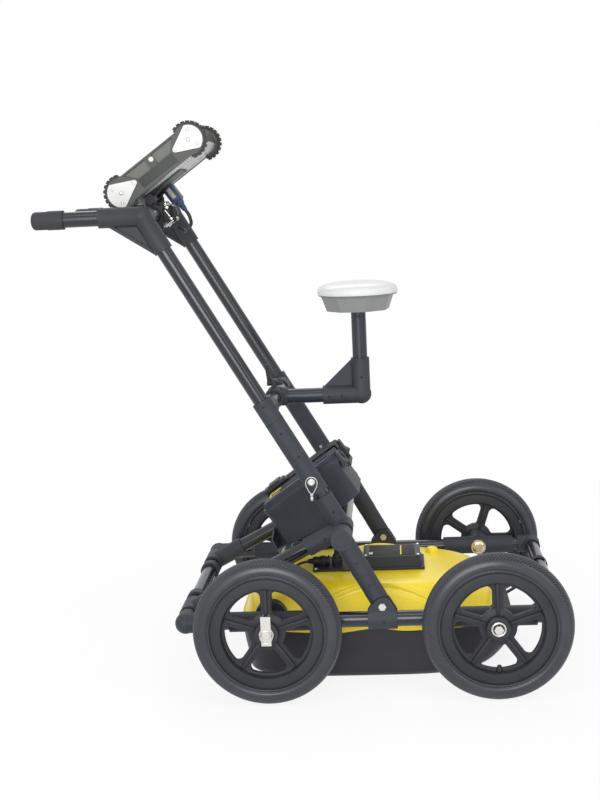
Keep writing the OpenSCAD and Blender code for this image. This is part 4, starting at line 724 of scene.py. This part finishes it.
def makeWheelTrim():
    spec, high = wheelSet, wheelSet["axleHigh"]
    points, faces = rimMesh()
    upright = Matrix.Rotation(math.pi / 2, 4, "X")
    for side, s in sides.items():
        for end, x in (("rear", 0.0), ("front", spec["frontX"])):
            corner, wheel = f"{side}_{end}", f"{side}_{end}_wheel"
            turn = math.pi / 2 + math.pi / rimSet["spokes"]
            if corner == "left_front":
                turn -= math.radians(rimSet["turnLeftFront"])
            swing = Matrix.Rotation(turn, 3, "Z")
            place = standing(x, s * spec["wheelY"], high) @ upright
            rim = addPiece(f"castRim_{corner}", [swing @ Vector(p) for p in points], faces, "rimPlastic",
                           wheel, place, rimSet["crease"])
            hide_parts(f"{corner}_rim")
            addPiece(f"hubRing_{corner}", *revolved(spec["hubRing"], 40), "boltSteel", wheel,
                     facing(at(x, s * (spec["wheelY"] + spec["hubFace"]), high), (0, s, 0)))
            if corner != "right_rear":
                addPiece(f"brassWasher_{corner}", *revolved(spec["washer"], 40), "brassZinc", "chassis",
                         facing(at(x, s * spec["railFace"], high), (0, -s, 0)))
            if end == "front":
                stem = at(x, s * (spec["wheelY"] + spec["valveSide"]), high - spec["valveReach"])
                addPiece(f"valveStem_{side}", *turnedMm(spec["valve"], 20), "seamDark", wheel,
                         facing(stem, (0, 0, 1)))
    middle = at(0, -spec["clipOut"], high - spec["clipDrop"])
    loop = [(spec["clipRadius"] + u, v) for u, v in circle(spec["clipWire"], 8)]
    addPiece("dogClip", *revolved(loop, 48), "boltSteel", "right_rear_wheel",
             facing(middle, spec["clipAxis"]))
    addPiece("dogNut", *revolved(spec["dogNut"], 6), "boltSteel", "right_rear_wheel",
             facing(at(0, -spec["dogFace"], high), (0, -1, 0)))


makeWheelTrim()
print("wheel trim made")

# Sensor shell and skid tub, with the same rings as the solids and smooth between them

shellSet = dict(
    middle=202.0, long=564.0, wide=412.0, top=191.0, joint=101.0, power=4.0, around=256, between=30,
    longShares=[1, 1, 0.975, 0.925, 0.87, 0.7, 0.48], wideShares=[1, 1, 0.965, 0.855, 0.785, 0.66, 0.5],
    endShares=[0, 0.1, 0.16, 0.58, 0.68, 0.87, 1], sideShares=[0, 0.1, 0.16, 0.9, 0.98, 0.99, 1],
    boss=(343.0, 79.0),
    bossProfile=[(14.5, -8.0), (14.2, 1.0), (13.4, 5.0), (11.2, 8.6), (6.4, 10.6), (0.01, 11.2)],
    archMiddle=220.0, archTop=88.0, archFall=0.0029, archFloor=48.0, archLean=20.0,
    beadLevel=3.0, beadHigh=3.4, beadHalf=8.0, beadFrom=0.55, beadFade=0.3, beadEnds=2.2,
    beadOut=0.75, beadUp=0.66, creaseDeep=1.8, creaseDown=11.0, creaseHalf=9.0, sidePower=3, runSteps=60,
    jointMiddle=213.0, jointHalf=88.0, jointRise=5.5, jointFall=4.0, jointSoft=16.0,
    jointPower=4, jointReach=2.6,
)
tubSet = dict(
    nose=24.0, gap=0.15, high=[0, 0.12, 0.5, 0.85, 1], ahead=[-0.5, 0, 0.5, 0.5, 0.5],
    long=[-1, -0.5, 0.33, 0.5, 0.5], wide=[-0.5, -0.16, -0.12, 0, 0], between=10,
)


def monotone(table, t):  # smooth interpolation that never overshoots
    n = len(table)
    i = min(int(t), n - 2)
    f = t - i
    step = [table[k + 1] - table[k] for k in range(n - 1)]

    def tangent(k):
        if k == 0:
            return step[0]
        if k == n - 1:
            return step[-1]
        a, b = step[k - 1], step[k]
        return 0.0 if a * b <= 0 else 2 * a * b / (a + b)

    h00, h10 = 2 * f ** 3 - 3 * f ** 2 + 1, f ** 3 - 2 * f ** 2 + f
    h01, h11 = -2 * f ** 3 + 3 * f ** 2, f ** 3 - f ** 2
    return h00 * table[i] + h10 * tangent(i) + h01 * table[i + 1] + h11 * tangent(i + 1)


def bell(d, half):
    return 0.5 + 0.5 * math.cos(math.pi * d / half) if abs(d) < half else 0.0


def formed(x, y, z):  # the joint's low arch along each side
    spec = shellSet
    aside = (abs(y) / (spec["wide"] / 2)) ** spec["jointPower"]
    d = abs(x - spec["jointMiddle"]) / spec["jointHalf"]
    drop = 1 - bell(d, 1.0) if d < 1 else 1.0
    lift = spec["jointRise"] - (spec["jointRise"] + spec["jointFall"]) * drop
    z += lift * min(aside, 1.0) * bell(z - spec["joint"], 2 * spec["jointSoft"]) * bell(d, spec["jointReach"])
    return at(x, y, z)


def oblong():  # points round a rounded oblong that reaches 1 on both axes
    power, around = shellSet["power"], shellSet["around"]
    for i in range(around):
        c, s = polar(1, 2 * math.pi * i / around)
        reach = (abs(c) ** power + abs(s) ** power) ** (-1 / power)
        yield reach, c, s


def oblongRing(x, a, b, z):
    return [formed(x + a * reach * c, b * reach * s, z) for reach, c, s in oblong()]


def crownAt(x):  # height of the side panel's top above the joint
    spec = shellSet
    return max(spec["archFloor"], spec["archTop"] - spec["archFall"] * (x - spec["archMiddle"]) ** 2)


def sideHeight(x, level):  # height above the joint on the middle of a side
    spec, rise = shellSet, shellSet["top"] - shellSet["joint"]
    foot, last = rise * spec["sideShares"][2], len(spec["longShares"]) - 1
    if level <= 2:
        return rise * monotone(spec["sideShares"], level)
    if level <= 3:
        return foot + (crownAt(x) - foot) * (level - 2)
    return rise - (rise - crownAt(x)) * ((last - level) / (last - 3)) ** 2


def shellRing(level, run):  # run is the way up the section from the bead
    spec, rise = shellSet, shellSet["top"] - shellSet["joint"]
    a = spec["long"] / 2 * monotone(spec["longShares"], level)
    b = spec["wide"] / 2 * monotone(spec["wideShares"], level)
    zEnd = rise * monotone(spec["endShares"], level)
    leaning = max(0.0, min(level - 2, 1 - (level - 3) / 2))
    out = spec["beadHigh"] * bell(run, spec["beadHalf"])
    out -= spec["creaseDeep"] * bell(run + spec["creaseDown"], spec["creaseHalf"])
    ring = []
    for reach, c, s in oblong():
        x, share = spec["middle"] + a * reach * c, min(1.0, abs(reach * s)) ** spec["sidePower"]
        inside = (crownAt(x) - spec["archFloor"]) / (spec["archTop"] - spec["archFloor"])
        bead = out * min(1.0, max(0.0, (share - spec["beadFrom"]) / spec["beadFade"]))
        bead *= min(1.0, spec["beadEnds"] * inside)
        y = b * abs(reach * s) - share * spec["archLean"] * inside * leaning + spec["beadOut"] * bead
        z = zEnd + (sideHeight(x, level) - zEnd) * share + spec["beadUp"] * bead
        ring.append(formed(x, math.copysign(y, s), spec["joint"] + z))
    return ring


def sectionRun(level):  # length up the shell's side section, at the arch's crown
    spec = shellSet
    steps = [level * k / spec["runSteps"] for k in range(spec["runSteps"] + 1)]
    line = [(spec["wide"] / 2 * monotone(spec["wideShares"], t), sideHeight(spec["archMiddle"], t))
            for t in steps]
    return sum(math.dist(p, q) for p, q in zip(line, line[1:]))


def makeSensor():
    spec = shellSet
    last = len(spec["longShares"]) - 1
    beadAt = sectionRun(spec["beadLevel"])
    rings = []
    for k in range(last * spec["between"] + 1):
        t = k / spec["between"]
        rings.append(shellRing(t, sectionRun(t) - beadAt))
    shell = addPiece("yellowShell", *skin(rings), "shellYellow", "sensor", None, 50)
    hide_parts("sensor_shell")
    addPiece("shellBoss", *turnedMm(spec["bossProfile"], 40), "shellYellow", "sensor",
             standing(*spec["boss"], spec["top"]), 60)

    tub = tubSet
    rings = []
    for k in range((len(tub["high"]) - 1) * tub["between"] + 1):
        t = k / tub["between"]
        z = (spec["joint"] - tub["gap"]) * monotone(tub["high"], t)
        rings.append(oblongRing(
            spec["middle"] + tub["nose"] * monotone(tub["ahead"], t),
            spec["long"] / 2 + tub["nose"] * monotone(tub["long"], t),
            spec["wide"] / 2 + tub["nose"] * monotone(tub["wide"], t), z))
    skid = addPiece("skidTub", *skin(rings), "skidBlack", "sensor", None, 40)
    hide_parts("skid_tub")


makeSensor()
print("sensor made")

# Control module's flange, end caps, bare labels and screws; connectors' nuts and boots

moduleSet = dict(
    middle=(252.0, -15.0), top=221.15, deck=191.15, long=125.0, wide=97.0,
    flange=(142.0, 107.0, 6.0), flangeEdge=1.6, capLong=11.0, capIn=(2, 5), capHigh=1.4, capEdge=0.9,
    label=(98.0, 84.0), labelHigh=0.7, labelEdge=0.5, markHigh=1.0, markEdge=0.3,
    whiteMark=(205.5, -38.0, 10.0, 17.0), yellowMark=(272.0, -15.0, 3.0, 74.0),
    screws=[(194.5, 28.0), (194.5, -58.0), (309.5, 28.0), (309.5, -58.0)], screw=3.4,
    plateTop=196.15, plateScrews=[(85.0, 32.0), (85.0, -62.0), (178.0, 32.0), (178.0, -62.0), (121.0, 0.0)],
)


def makeModule():
    spec = moduleSet
    (x, y), top = spec["middle"], spec["top"]
    long, wide, high = spec["flange"]
    addPiece("moduleFlange", *block(long, wide, high, spec["flangeEdge"]), "clampBlack", "sensor",
             standing(x, y, spec["deck"] + high / 2))
    inLong, inWide = spec["capIn"]
    reach = spec["long"] / 2 - spec["capLong"] / 2 - inLong
    caps = [(*block(spec["capLong"], spec["wide"] - inWide, 2 * spec["capHigh"], spec["capEdge"]),
             standing(x + e * reach, y, top)) for e in (-1, 1)]
    addPiece("moduleCaps", *merged(caps), "coverDark", "sensor")
    addPiece("moduleLabel", *block(*spec["label"], 2 * spec["labelHigh"], spec["labelEdge"]), "labelPlain",
             "sensor", standing(x, y, top))
    for name, finish, (mx, my, ml, mw) in (("moduleMark", "labelWhite", spec["whiteMark"]),
                                           ("moduleStripe", "labelYellow", spec["yellowMark"])):
        addPiece(name, *block(ml, mw, spec["markHigh"], spec["markEdge"]), finish, "sensor",
                 standing(mx, my, top + spec["labelHigh"]))
    places = [(*xy, top + spec["capHigh"]) for xy in spec["screws"]]
    places += [(*xy, spec["plateTop"]) for xy in spec["plateScrews"]]
    heads = [(*screwHead(spec["screw"]), standing(*place)) for place in places]
    addPiece("moduleScrews", *merged(heads), "boltSteel", "sensor")


makeModule()

plugSet = dict(
    plugs=[dict(place=(112.0, -30.5, 205.8), along=(-1, 0, 0), nut=6, collar=-2, ball=24, boot=33),
           dict(place=(131.0, -30.5, 196.3), along=(0, 0, 1), nut=3, collar=0, ball=15, boot=25)],
    nutRadius=11.6, nutLong=13.0, nutEase=0.8, flutes=26, fluteDeep=0.7,
    collar=[(12.6, 0), (12.6, 2.6), (11.0, 3.4), (0.01, 3.4)],
    ball=[(9.4, 0), (10.2, 3), (10.0, 6), (8.4, 9), (6.4, 10.6), (0.01, 10.6)],
    boot=dict(count=5, step=2.6, radii=(6.9, 5.2), deep=1.2, ways=(1.56, 1.768, 2.47), end=3.3), crease=40,
)


def knurled():  # a fluted coupling nut that runs up from Z = 0
    spec, rings = plugSet, []
    long, soft, around = spec["nutLong"], spec["nutEase"], 4 * spec["flutes"]
    for h, ease in ((0, soft), (soft, 0), (long - soft, 0), (long, soft)):
        ring = []
        for i in range(around):
            r = spec["nutRadius"] - ease - (spec["fluteDeep"] if i % 4 in (0, 1) else 0)
            ring.append((*polar(r * mm, 2 * math.pi * i / around), h * mm))
        rings.append(ring)
    return skin(rings)


def ribbed(spec, steps):  # a tapering ribbed sleeve; ways are heights within one rib's step
    (first, last), (top, groove, following) = spec["radii"], spec["ways"]
    profile = []
    for k in range(spec["count"]):
        r, h = first + (last - first) * k / spec["count"], k * spec["step"]
        profile += [(r, h), (r, h + top), (r - spec["deep"], h + groove), (r - spec["deep"], h + following)]
    return turnedMm(profile + [(spec["end"], spec["count"] * spec["step"])], steps)


def makePlugs():
    spec, parts = plugSet, []
    forms = dict(nut=knurled(), collar=turnedMm(spec["collar"]), ball=turnedMm(spec["ball"]),
                 boot=ribbed(spec["boot"], 24))
    for plug in spec["plugs"]:
        place, along = at(*plug["place"]), Vector(plug["along"])
        parts += [(*form, facing(place + along * plug[name] * mm, along)) for name, form in forms.items()]
    addPiece("plugTrim", *merged(parts), "clampBlack", "sensor", None, spec["crease"])


makePlugs()
print("module and plugs made")

# Cords along the solids' routes

cordSet = {
    "displayCord": dict(bodies=("display", "chassis"), node="display_cable", diameter=8.0,
                        start=(-178.0, 84.0, 986.5), end=(-206.55, 170.7, 945.5),
                        out=[(0, 0, 0), (6, 0, -9), (9, 3, -20), (8, 12, -32)],
                        back=[(20, -44, -6), (13, -28, -4), (5, -14, -1), (0, -6, 0), (0, 0, 0)]),
    "odometerCord": dict(bodies=("sensor", "chassis"), node="sensor_cables", diameter=6.0,
                         start=(77.85, -30.5, 205.8), end=(0.0, -240.35, 184.3),
                         out=[(0, 0, 0), (-6, 0, 0), (-13, -4, 0), (-24, -12, 0), (-36, -32, -1),
                              (-44, -58, -2), (-52, -86, -3), (-60, -116, -3)],
                         back=[(12, 62, 17), (6, 34, 16), (1, 12, 14), (0, 3, 10), (0, 0, 5), (0, 0, 0)]),
    "batteryCord": dict(bodies=("sensor", "chassis"), node="sensor_cables", diameter=6.0,
                        start=(131.0, -30.5, 230.45), end=(101.4, -22.0, 291.9),
                        out=[(0, 0, 0), (0, 0, 10), (-2, 1, 20), (-8, 2, 30), (-16, 4, 40)],
                        back=[(10, -2, -22), (6, 0, -11), (0, 0, 0)]),
}


cordStep, cordSides, cordCrease = 2.5, 16, 60


def makeCords():
    for name, spec in cordSet.items():
        route = [at(*(Vector(spec["start"]) + Vector(d))) for d in spec["out"]]
        route += [at(*(Vector(spec["end"]) + Vector(d))) for d in spec["back"]]
        line = smoothPath(route, cordStep * mm)
        outline = circle(spec["diameter"] / 2 * mm, cordSides)
        obj = addPiece(name, *swept(line, outline), "cordBlack", None, None, cordCrease)
        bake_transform(obj)
        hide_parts(spec["node"])


makeCords()
print("cords made")

# Pull straps, wrapped round the front cross tube

pullSet = dict(
    y=90.0, wide=20.0, thick=2.2, nose=(507.8, 83.6), tip=(594.1, 134.2), straight=14,
    tube=(585.0, 150.0), wrap=18.2, fromAngle=-60.0, toAngle=165.0, wraps=16,
    anchor=(9.0, 26.0, 20.0), anchorEdge=1.6, anchorBy=(-3, 1), anchorTurn=30,
)
bandSet = dict(steps=12, blunt=0.35, flat=0.6)


def band(line, half, thick):  # a flat band of rounded section along a line; Y is across it
    spec, outline = bandSet, []
    for u, v in circle(1, spec["steps"]):
        outline.append((half * math.copysign(abs(u) ** spec["blunt"], u),
                        thick / 2 * math.copysign(abs(v) ** spec["flat"], v)))
    rings = []
    for i, p in enumerate(line):
        ahead = (line[min(i + 1, len(line) - 1)] - line[max(i - 1, 0)]).normalized()
        normal = ahead.cross(Vector((0, 1, 0)))
        rings.append([p + Vector((0, u * mm, 0)) + normal * v * mm for u, v in outline])
    return skin(rings)


def makePullStraps():
    spec = pullSet
    (nx, nz), (tx, tz), (cx, cz) = spec["nose"], spec["tip"], spec["tube"]
    straight, sweep = spec["straight"], spec["toAngle"] - spec["fromAngle"]
    flat = [(nx + (tx - nx) * k / straight, nz + (tz - nz) * k / straight) for k in range(straight)]
    for k in range(spec["wraps"] + 1):
        u, v = polar(spec["wrap"], math.radians(spec["fromAngle"] + sweep * k / spec["wraps"]))
        flat.append((cx + u, cz + v))
    byX, byZ = spec["anchorBy"]
    for side, s in sides.items():
        y = s * spec["y"]
        line = [at(x, y, z) for x, z in flat]
        obj = addPiece(f"pullStrap_{side}", *band(line, spec["wide"] / 2, spec["thick"]), "webbing", None)
        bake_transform(obj)
        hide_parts("pull_straps")
        addPiece(f"strapAnchor_{side}", *block(*spec["anchor"], spec["anchorEdge"]), "clampBlack", "sensor",
                 sloped(at(nx + byX, y, nz + byZ), spec["anchorTurn"]))


makePullStraps()
print("pull straps made")

# Battery case: strap over the lid with its buckle, bare label

lidSet = dict(
    y=8.0, wide=34.0, thick=2.6, top=127.6, rear=-126.0, front=65.9, foot=113.5, bend=4, bendEase=1.2,
    topSteps=30, footSteps=5, buckleEdge=2.2, labelEdge=0.3,
    buckle=[(54.0, 40.0, 9.0, -99.0, 132.0), (30.0, 44.0, 5.0, -97.0, 137.0),
            (10.0, 42.0, 5.0, -68.0, 130.0)],
    label=(29.0, 46.0, 0.8, -98.0, -40.0, 124.2),
)


def makeLidStrap():
    spec = lidSet
    rear, front, top, bend, ease = (spec[k] for k in ("rear", "front", "top", "bend", "bendEase"))
    steps, downs = spec["topSteps"], spec["footSteps"]
    flat = [(rear + (front - bend - rear) * k / steps, top) for k in range(steps + 1)]
    flat += [(front - ease, top - ease), (front, top - bend)]
    flat += [(front, top - bend - (top - bend - spec["foot"]) * k / downs) for k in range(1, downs + 1)]
    line = [caseFrame @ Vector((u * mm, spec["y"] * mm, n * mm)) for u, n in flat]
    strap = addPiece("lidWebbing", *band(line, spec["wide"] / 2, spec["thick"]), "webbing", "lid")
    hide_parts("lid_strap")
    parts = [(*block(long, wide, high, spec["buckleEdge"]), caseFrame @ shift(u, spec["y"], n))
             for long, wide, high, u, n in spec["buckle"]]
    addPiece("lidBuckle", *merged(parts), "clampBlack", "lid")
    long, wide, high, *place = spec["label"]
    addPiece("lidLabel", *block(long, wide, high, spec["labelEdge"]), "labelYellow", "lid",
             caseFrame @ shift(*place))


makeLidStrap()
print("case trim made")

# Display: screws on the corner plates, boss screws, covers, end label, bezel and the plug's hood

displaySet = dict(
    middle=(58.0, 41.5), halfLong=89.0, plateFace=127.2, coverFace=126.0, castFace=125.0,
    screws=[(0.0, 0.0, 4.4), (-10.5, 17.0, 3.4), (-10.5, -17.0, 3.4), (33.5, 0.4, 3.2)],
    plate=dict(radius=29.6, spread=71, steps=24, tip=34.5, tipRadius=5.6, tipFrom=112, tipSweep=136,
               tipSteps=10, thick=(125.1, 127.2), edge=0.5),
    fields=[(9.0, 1.0), (43.0, 1.0), (62.0, 23.0), (9.0, 23.0)],
    fieldFace=121.6, fieldDeep=1, fieldEdge=0.2,
    boss=(3.0, 15.5), bossScrew=6.2, cover=(88.0, 19.0, 0.9, -10.6), coverSunk=0.2, coverEdge=0.4,
    bezel=(67.0, 96.0, 59.5, 88.5), bezelHigh=(68.3, 70.2), bezelEdge=0.8,
    label=dict(radius=27.35, angles=(-38, 72), y=(-60.0, 106.0), thick=0.3, steps=24),
    stripe=dict(radius=27.55, angles=(-32, 68), y=(99.0, 103.0), thick=0.3, steps=24),
    back=dict(x=(-2.0, 128.0), z=14.3, wide=9.0, thick=1.6, edge=1.0, ribs=[-72.0, -60.0, 62.0, 74.0]),
)


def displayAt(x, y, z):
    return displayFrame @ shift(x, y, z)


def arcPatch(x, z, spec):  # a curved sheet round an axis along Y
    low, high = spec["angles"]
    (y0, y1), inner, outer = spec["y"], spec["radius"], spec["radius"] + spec["thick"]
    rings = []
    for k in range(spec["steps"] + 1):
        c, s = polar(1, math.radians(low + (high - low) * k / spec["steps"]))
        rings.append([((x + r * c) * mm, y * mm, (z + r * s) * mm)
                      for r, y in ((inner, y0), (inner, y1), (outer, y1), (outer, y0))])
    return skin(rings)


def plateOutline(plate):  # a round corner that narrows to a small round tip
    arc = [plate["spread"] * (2 * k / plate["steps"] - 1) for k in range(plate["steps"] + 1)]
    outline = [polar(plate["radius"], math.radians(a)) for a in arc]
    for k in range(plate["tipSteps"] + 1):
        a = math.radians(plate["tipFrom"] + plate["tipSweep"] * k / plate["tipSteps"])
        u, v = polar(plate["tipRadius"], a)
        outline.append((u - plate["tip"], v))
    return outline


def makeDisplay():
    spec, plate = displaySet, displaySet["plate"]
    (mx, mz), (bx, bz) = spec["middle"], spec["boss"]
    long, high, thick, down = spec["cover"]
    heads, bosses, covers, plates, panels = [], [], [], [], []
    for s in sides.values():
        outward, aside = facing(Vector(), (0, s, 0)), Matrix.Rotation(-s * math.pi / 2, 4, "X")
        for e in (-1, 1):
            for dx, dz, r in spec["screws"]:
                place = displayAt(mx + e * (spec["halfLong"] - dx), s * spec["plateFace"], mz + dz)
                heads.append((*screwHead(r), place @ outward))
            place = displayAt(mx + e * spec["halfLong"], 0, mz) @ aside @ Matrix.Diagonal((e, s * e, 1, 1))
            plates.append((*slab(plateOutline(plate), *plate["thick"], plate["edge"]), place))
            field = [(e * u, v) for u, v in spec["fields"]]
            face = spec["fieldFace"]
            panels.append((*slab(field, face - spec["fieldDeep"], face, spec["fieldEdge"]),
                           displayAt(mx, 0, mz) @ aside @ Matrix.Diagonal((1, -s, 1, 1))))
        place = displayAt(mx + bx, s * spec["castFace"], mz + bz)
        bosses.append((*screwHead(spec["bossScrew"]), place @ outward))
        face = spec["coverFace"] + thick / 2 - spec["coverSunk"]
        covers.append((*block(long, thick, high, spec["coverEdge"]), displayAt(mx, s * face, mz + down)))
    cover = addPiece("cornerPlates", *merged(plates), "plateWhite", "display")
    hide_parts("corner_plates")
    addPiece("fieldPanels", *merged(panels), "fieldOlive", "display")
    addPiece("plateScrews", *merged(heads), "boltSteel", "display")
    addPiece("bossScrews", *merged(bosses), "boltSteel", "display")
    addPiece("castCovers", *merged(covers), "coverDark", "display")

    (a, b, c, d), (low, high) = spec["bezel"], spec["bezelHigh"]
    tall, level, edge, bars = high - low, (low + high) / 2, spec["bezelEdge"], []
    for e in (-1, 1):
        bars.append((*block(a - c, 2 * b, tall, edge), displayAt(mx + e * (a + c) / 2, 0, level)))
        bars.append((*block(2 * c, b - d, tall, edge), displayAt(mx, e * (b + d) / 2, level)))
    addPiece("screenBezel", *merged(bars), "gripRubber", "display")

    for name, finish, patch in (("endLabel", "labelPlain", spec["label"]),
                                ("endStripe", "labelYellow", spec["stripe"])):
        addPiece(name, *arcPatch(mx + spec["halfLong"], mz, patch), finish, "display", displayFrame)
    back = spec["back"]
    x0, x1 = back["x"]
    parts = [(*block(x1 - x0, back["wide"], 2 * back["thick"], back["edge"]),
              displayAt((x0 + x1) / 2, y, back["z"])) for y in back["ribs"]]
    addPiece("backRibs", *merged(parts), "caseSilver", "display")


makeDisplay()

hoodSet = dict(
    place=(26.0, 84.0, 14.3), body=(25.0, 47.0, 41.0), edge=4.5, crease=40,
    taper=[(11.0, 0), (10.6, 3), (8.8, 9), (7.6, 12), (0.01, 12)], taperSunk=1.5, neckOut=9.5,
    neck=dict(count=5, step=3.0, radii=(7.2, 5.4), deep=1.4, ways=(1.8, 2.0, 2.9), end=4.1),
    latch=(10.0, 5.0, 26.0, -6.0), latchEdge=2.2,
)


def makeHood():
    spec = hoodSet
    long, wide, high = spec["body"]
    place = displayAt(*spec["place"])
    down = place @ Matrix.Rotation(math.pi, 4, "X")
    parts = [(*block(long, wide, high, spec["edge"]), down @ shift(0, 0, high / 2)),
             (*turnedMm(spec["taper"]), down @ shift(0, 0, high - spec["taperSunk"])),
             (*ribbed(spec["neck"], 32), down @ shift(0, 0, high + spec["neckOut"]))]
    hood = addPiece("plugHood", *merged(parts), "hoodBlue", "display", None, spec["crease"])
    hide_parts("cable_plug")
    thick, out, tall, drop = spec["latch"]
    parts = [(*block(thick, out, tall, spec["latchEdge"]), place @ shift(0, s * wide / 2, drop - tall / 2))
             for s in (-1, 1)]
    addPiece("hoodLatch", *merged(parts), "latchBeige", "display")


makeHood()
print("display made")

# Clamp plates, seams, small screws and the receiver's trim on the frame

frameSet = dict(
    plate=(24.0, 2.6, 34.0), plateAt=(-206.0, 42.0, 980.0), plateEdge=0.6,
    rods=[((-208.3, -44.5, 955.2), (-186.0, -44.5, 968.0)), ((-203.0, -44.5, 990.0), (-193.0, -44.5, 976.0)),
          ((-208.0, 44.5, 958.0), (-190.0, 44.5, 968.0))], rod=1.5, rodStep=10,
    nuts=[(-217.0, 992.0), (-199.0, 995.5), (-191.0, 971.5)],
    nut=[(3.2, 0), (3.2, 2.6), (1.7, 2.8), (1.7, 4.4), (0.01, 4.6)],
    seams=[((21.5, 191.0, 550.5), (-0.5, 0, 0.866), 20.7), ((195.1, 273.0, 245.8), (0.479, 0, -0.877), 20.2)],
    seamLoop=[(-0.35, -0.9), (0.25, -0.9), (0.25, 0.9), (-0.35, 0.9)],
    dots=[(36.0, 211.5, 527.0), (70.0, 210.2, 478.0), (3.0, 211.2, 584.0), (182.7, 292.6, 272.7),
          (207.0, 292.4, 226.2), (115.7, 211.2, 303.4), (136.7, 211.0, 360.2), (233.4, 294.3, 148.3)],
    dot=2.6, dotSunk=0.3,
    receiverDots=[(200.4, 20.2, 612.5), (129.0, 20.4, 571.9), (156.2, 20.4, 572.5), (199.5, 15.9, 743.7)],
)


def makeFrameTrim():
    spec = frameSet
    (x, y, z), (_, thick, _) = spec["plateAt"], spec["plate"]
    parts = [(*block(*spec["plate"], spec["plateEdge"]), standing(x, s * y, z)) for s in sides.values()]
    addPiece("clampPlates", *merged(parts), "clampBlack", "chassis")
    parts = [(*tubeOf([at(*p), at(*q)], spec["rod"], spec["rodStep"]), Matrix.Identity(4))
             for p, q in spec["rods"]]
    for s in sides.values():
        parts += [(*turnedMm(spec["nut"], 6), facing(at(u, s * (y + thick / 2), v), (0, s, 0)))
                  for u, v in spec["nuts"]]
    addPiece("clampRods", *merged(parts), "boltSteel", "chassis")

    def heads(dots, s):  # screws on faces that look to one side
        return [(*screwHead(spec["dot"]), facing(at(x, s * (y - spec["dotSunk"]), z), (0, s, 0)))
                for x, y, z in dots]

    rings = []
    for s in sides.values():
        for (x, y, z), direction, radius in spec["seams"]:
            loop = [(radius + r, h) for r, h in spec["seamLoop"]]
            rings.append((*revolved(loop, 48), facing(at(x, s * y, z), direction)))
    addPiece("fittingSeams", *merged(rings), "seamDark", "chassis")
    screws = [head for s in sides.values() for head in heads(spec["dots"], s)]
    addPiece("fittingScrews", *merged(screws), "clampBlack", "chassis")
    addPiece("receiverScrews", *merged(heads(spec["receiverDots"], sides["right"])), "clampBlack", "receiver")


makeFrameTrim()

pinSet = dict(
    place=(94.0, 191.0, 424.92), out=20.65, shaft=[(4.0, 0), (4.0, 41.5), (3.2, 43.2), (0.01, 43.2)],
    head=[(7.0, 0), (7.6, 0.6), (7.9, 2.2), (7.6, 4.4), (6.4, 5.6), (4.6, 6.0), (4.2, 5.2), (0.01, 5.0)],
    loop=[(0, -25), (-4.5, -21), (-10.5, -9), (-11.5, 1), (-7, 8.5), (0, 10.5), (7, 8.5), (11.5, 1),
          (10.5, -9), (4.5, -21), (0.6, -25)],
    wire=0.95, loopOut=3.2, crimpDrop=24, crease=40,
    crimp=[(2.2, 0), (3.0, 0.8), (3.0, 6.2), (2.5, 7.0), (3.0, 7.8), (3.0, 14.0), (2.2, 15.0), (0.01, 15.0)],
)


def makePins():
    spec = pinSet
    x, y, z = spec["place"]
    for side, s in sides.items():
        out, loopOut = s * (y + spec["out"]), s * (y + spec["out"] + spec["loopOut"])
        face, foot = at(x, out, z), at(x, loopOut, z - spec["crimpDrop"])
        ring = [at(x + u, loopOut, z + v) for u, v in spec["loop"]]
        parts = [(*turnedMm(spec["head"], 36), facing(face, (0, s, 0))),
                 (*turnedMm(spec["shaft"], 28), facing(face, (0, -s, 0))),
                 (*tubeOf(ring, spec["wire"]), Matrix.Identity(4)),
                 (*turnedMm(spec["crimp"], 20), facing(foot, (0, 0, -1)))]
        pin = addPiece(f"pinSet_{side}", *merged(parts), "boltSteel", f"{side}_pin", None, spec["crease"])
        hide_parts(f"{side}_release_pin")


makePins()
print("frame trim made")

# Receiver dome and gasket

domeSet = dict(
    radius=87.0, rim=6.0, high=21.0, wide=0.62, rise=0.85, steps=24, lastAngle=82.5, lip=0.8,
    around=96, crease=50,
    gasket=[(70.0, -2.6), (84.6, -2.6), (85.4, -1.8), (84.6, -1.1), (85.6, -0.6), (85.4, -0.1), (70.0, -0.1)],
)


def makeDome():
    spec = domeSet
    low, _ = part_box("receiver_dome")
    middle = middleOf("receiver_dome")
    profile = [(spec["radius"] - spec["lip"], 0), (spec["radius"], spec["lip"])]
    for k in range(spec["steps"]):
        a = math.radians(spec["lastAngle"] * k / (spec["steps"] - 1))
        profile.append((spec["radius"] * math.cos(a) ** spec["wide"],
                        spec["rim"] + spec["high"] * math.sin(a) ** spec["rise"]))
    profile.append((0.01, profile[-1][1]))
    place = Matrix.Translation((middle.x, middle.y, low.z))
    dome = addPiece("whiteDome", *turnedMm(profile, spec["around"]), "domeWhite", "receiver", place,
                    spec["crease"])
    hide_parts("receiver_dome")
    addPiece("domeGasket", *revolved(spec["gasket"], spec["around"]), "receiverGrey", "receiver", place)


makeDome()
print("receiver made")
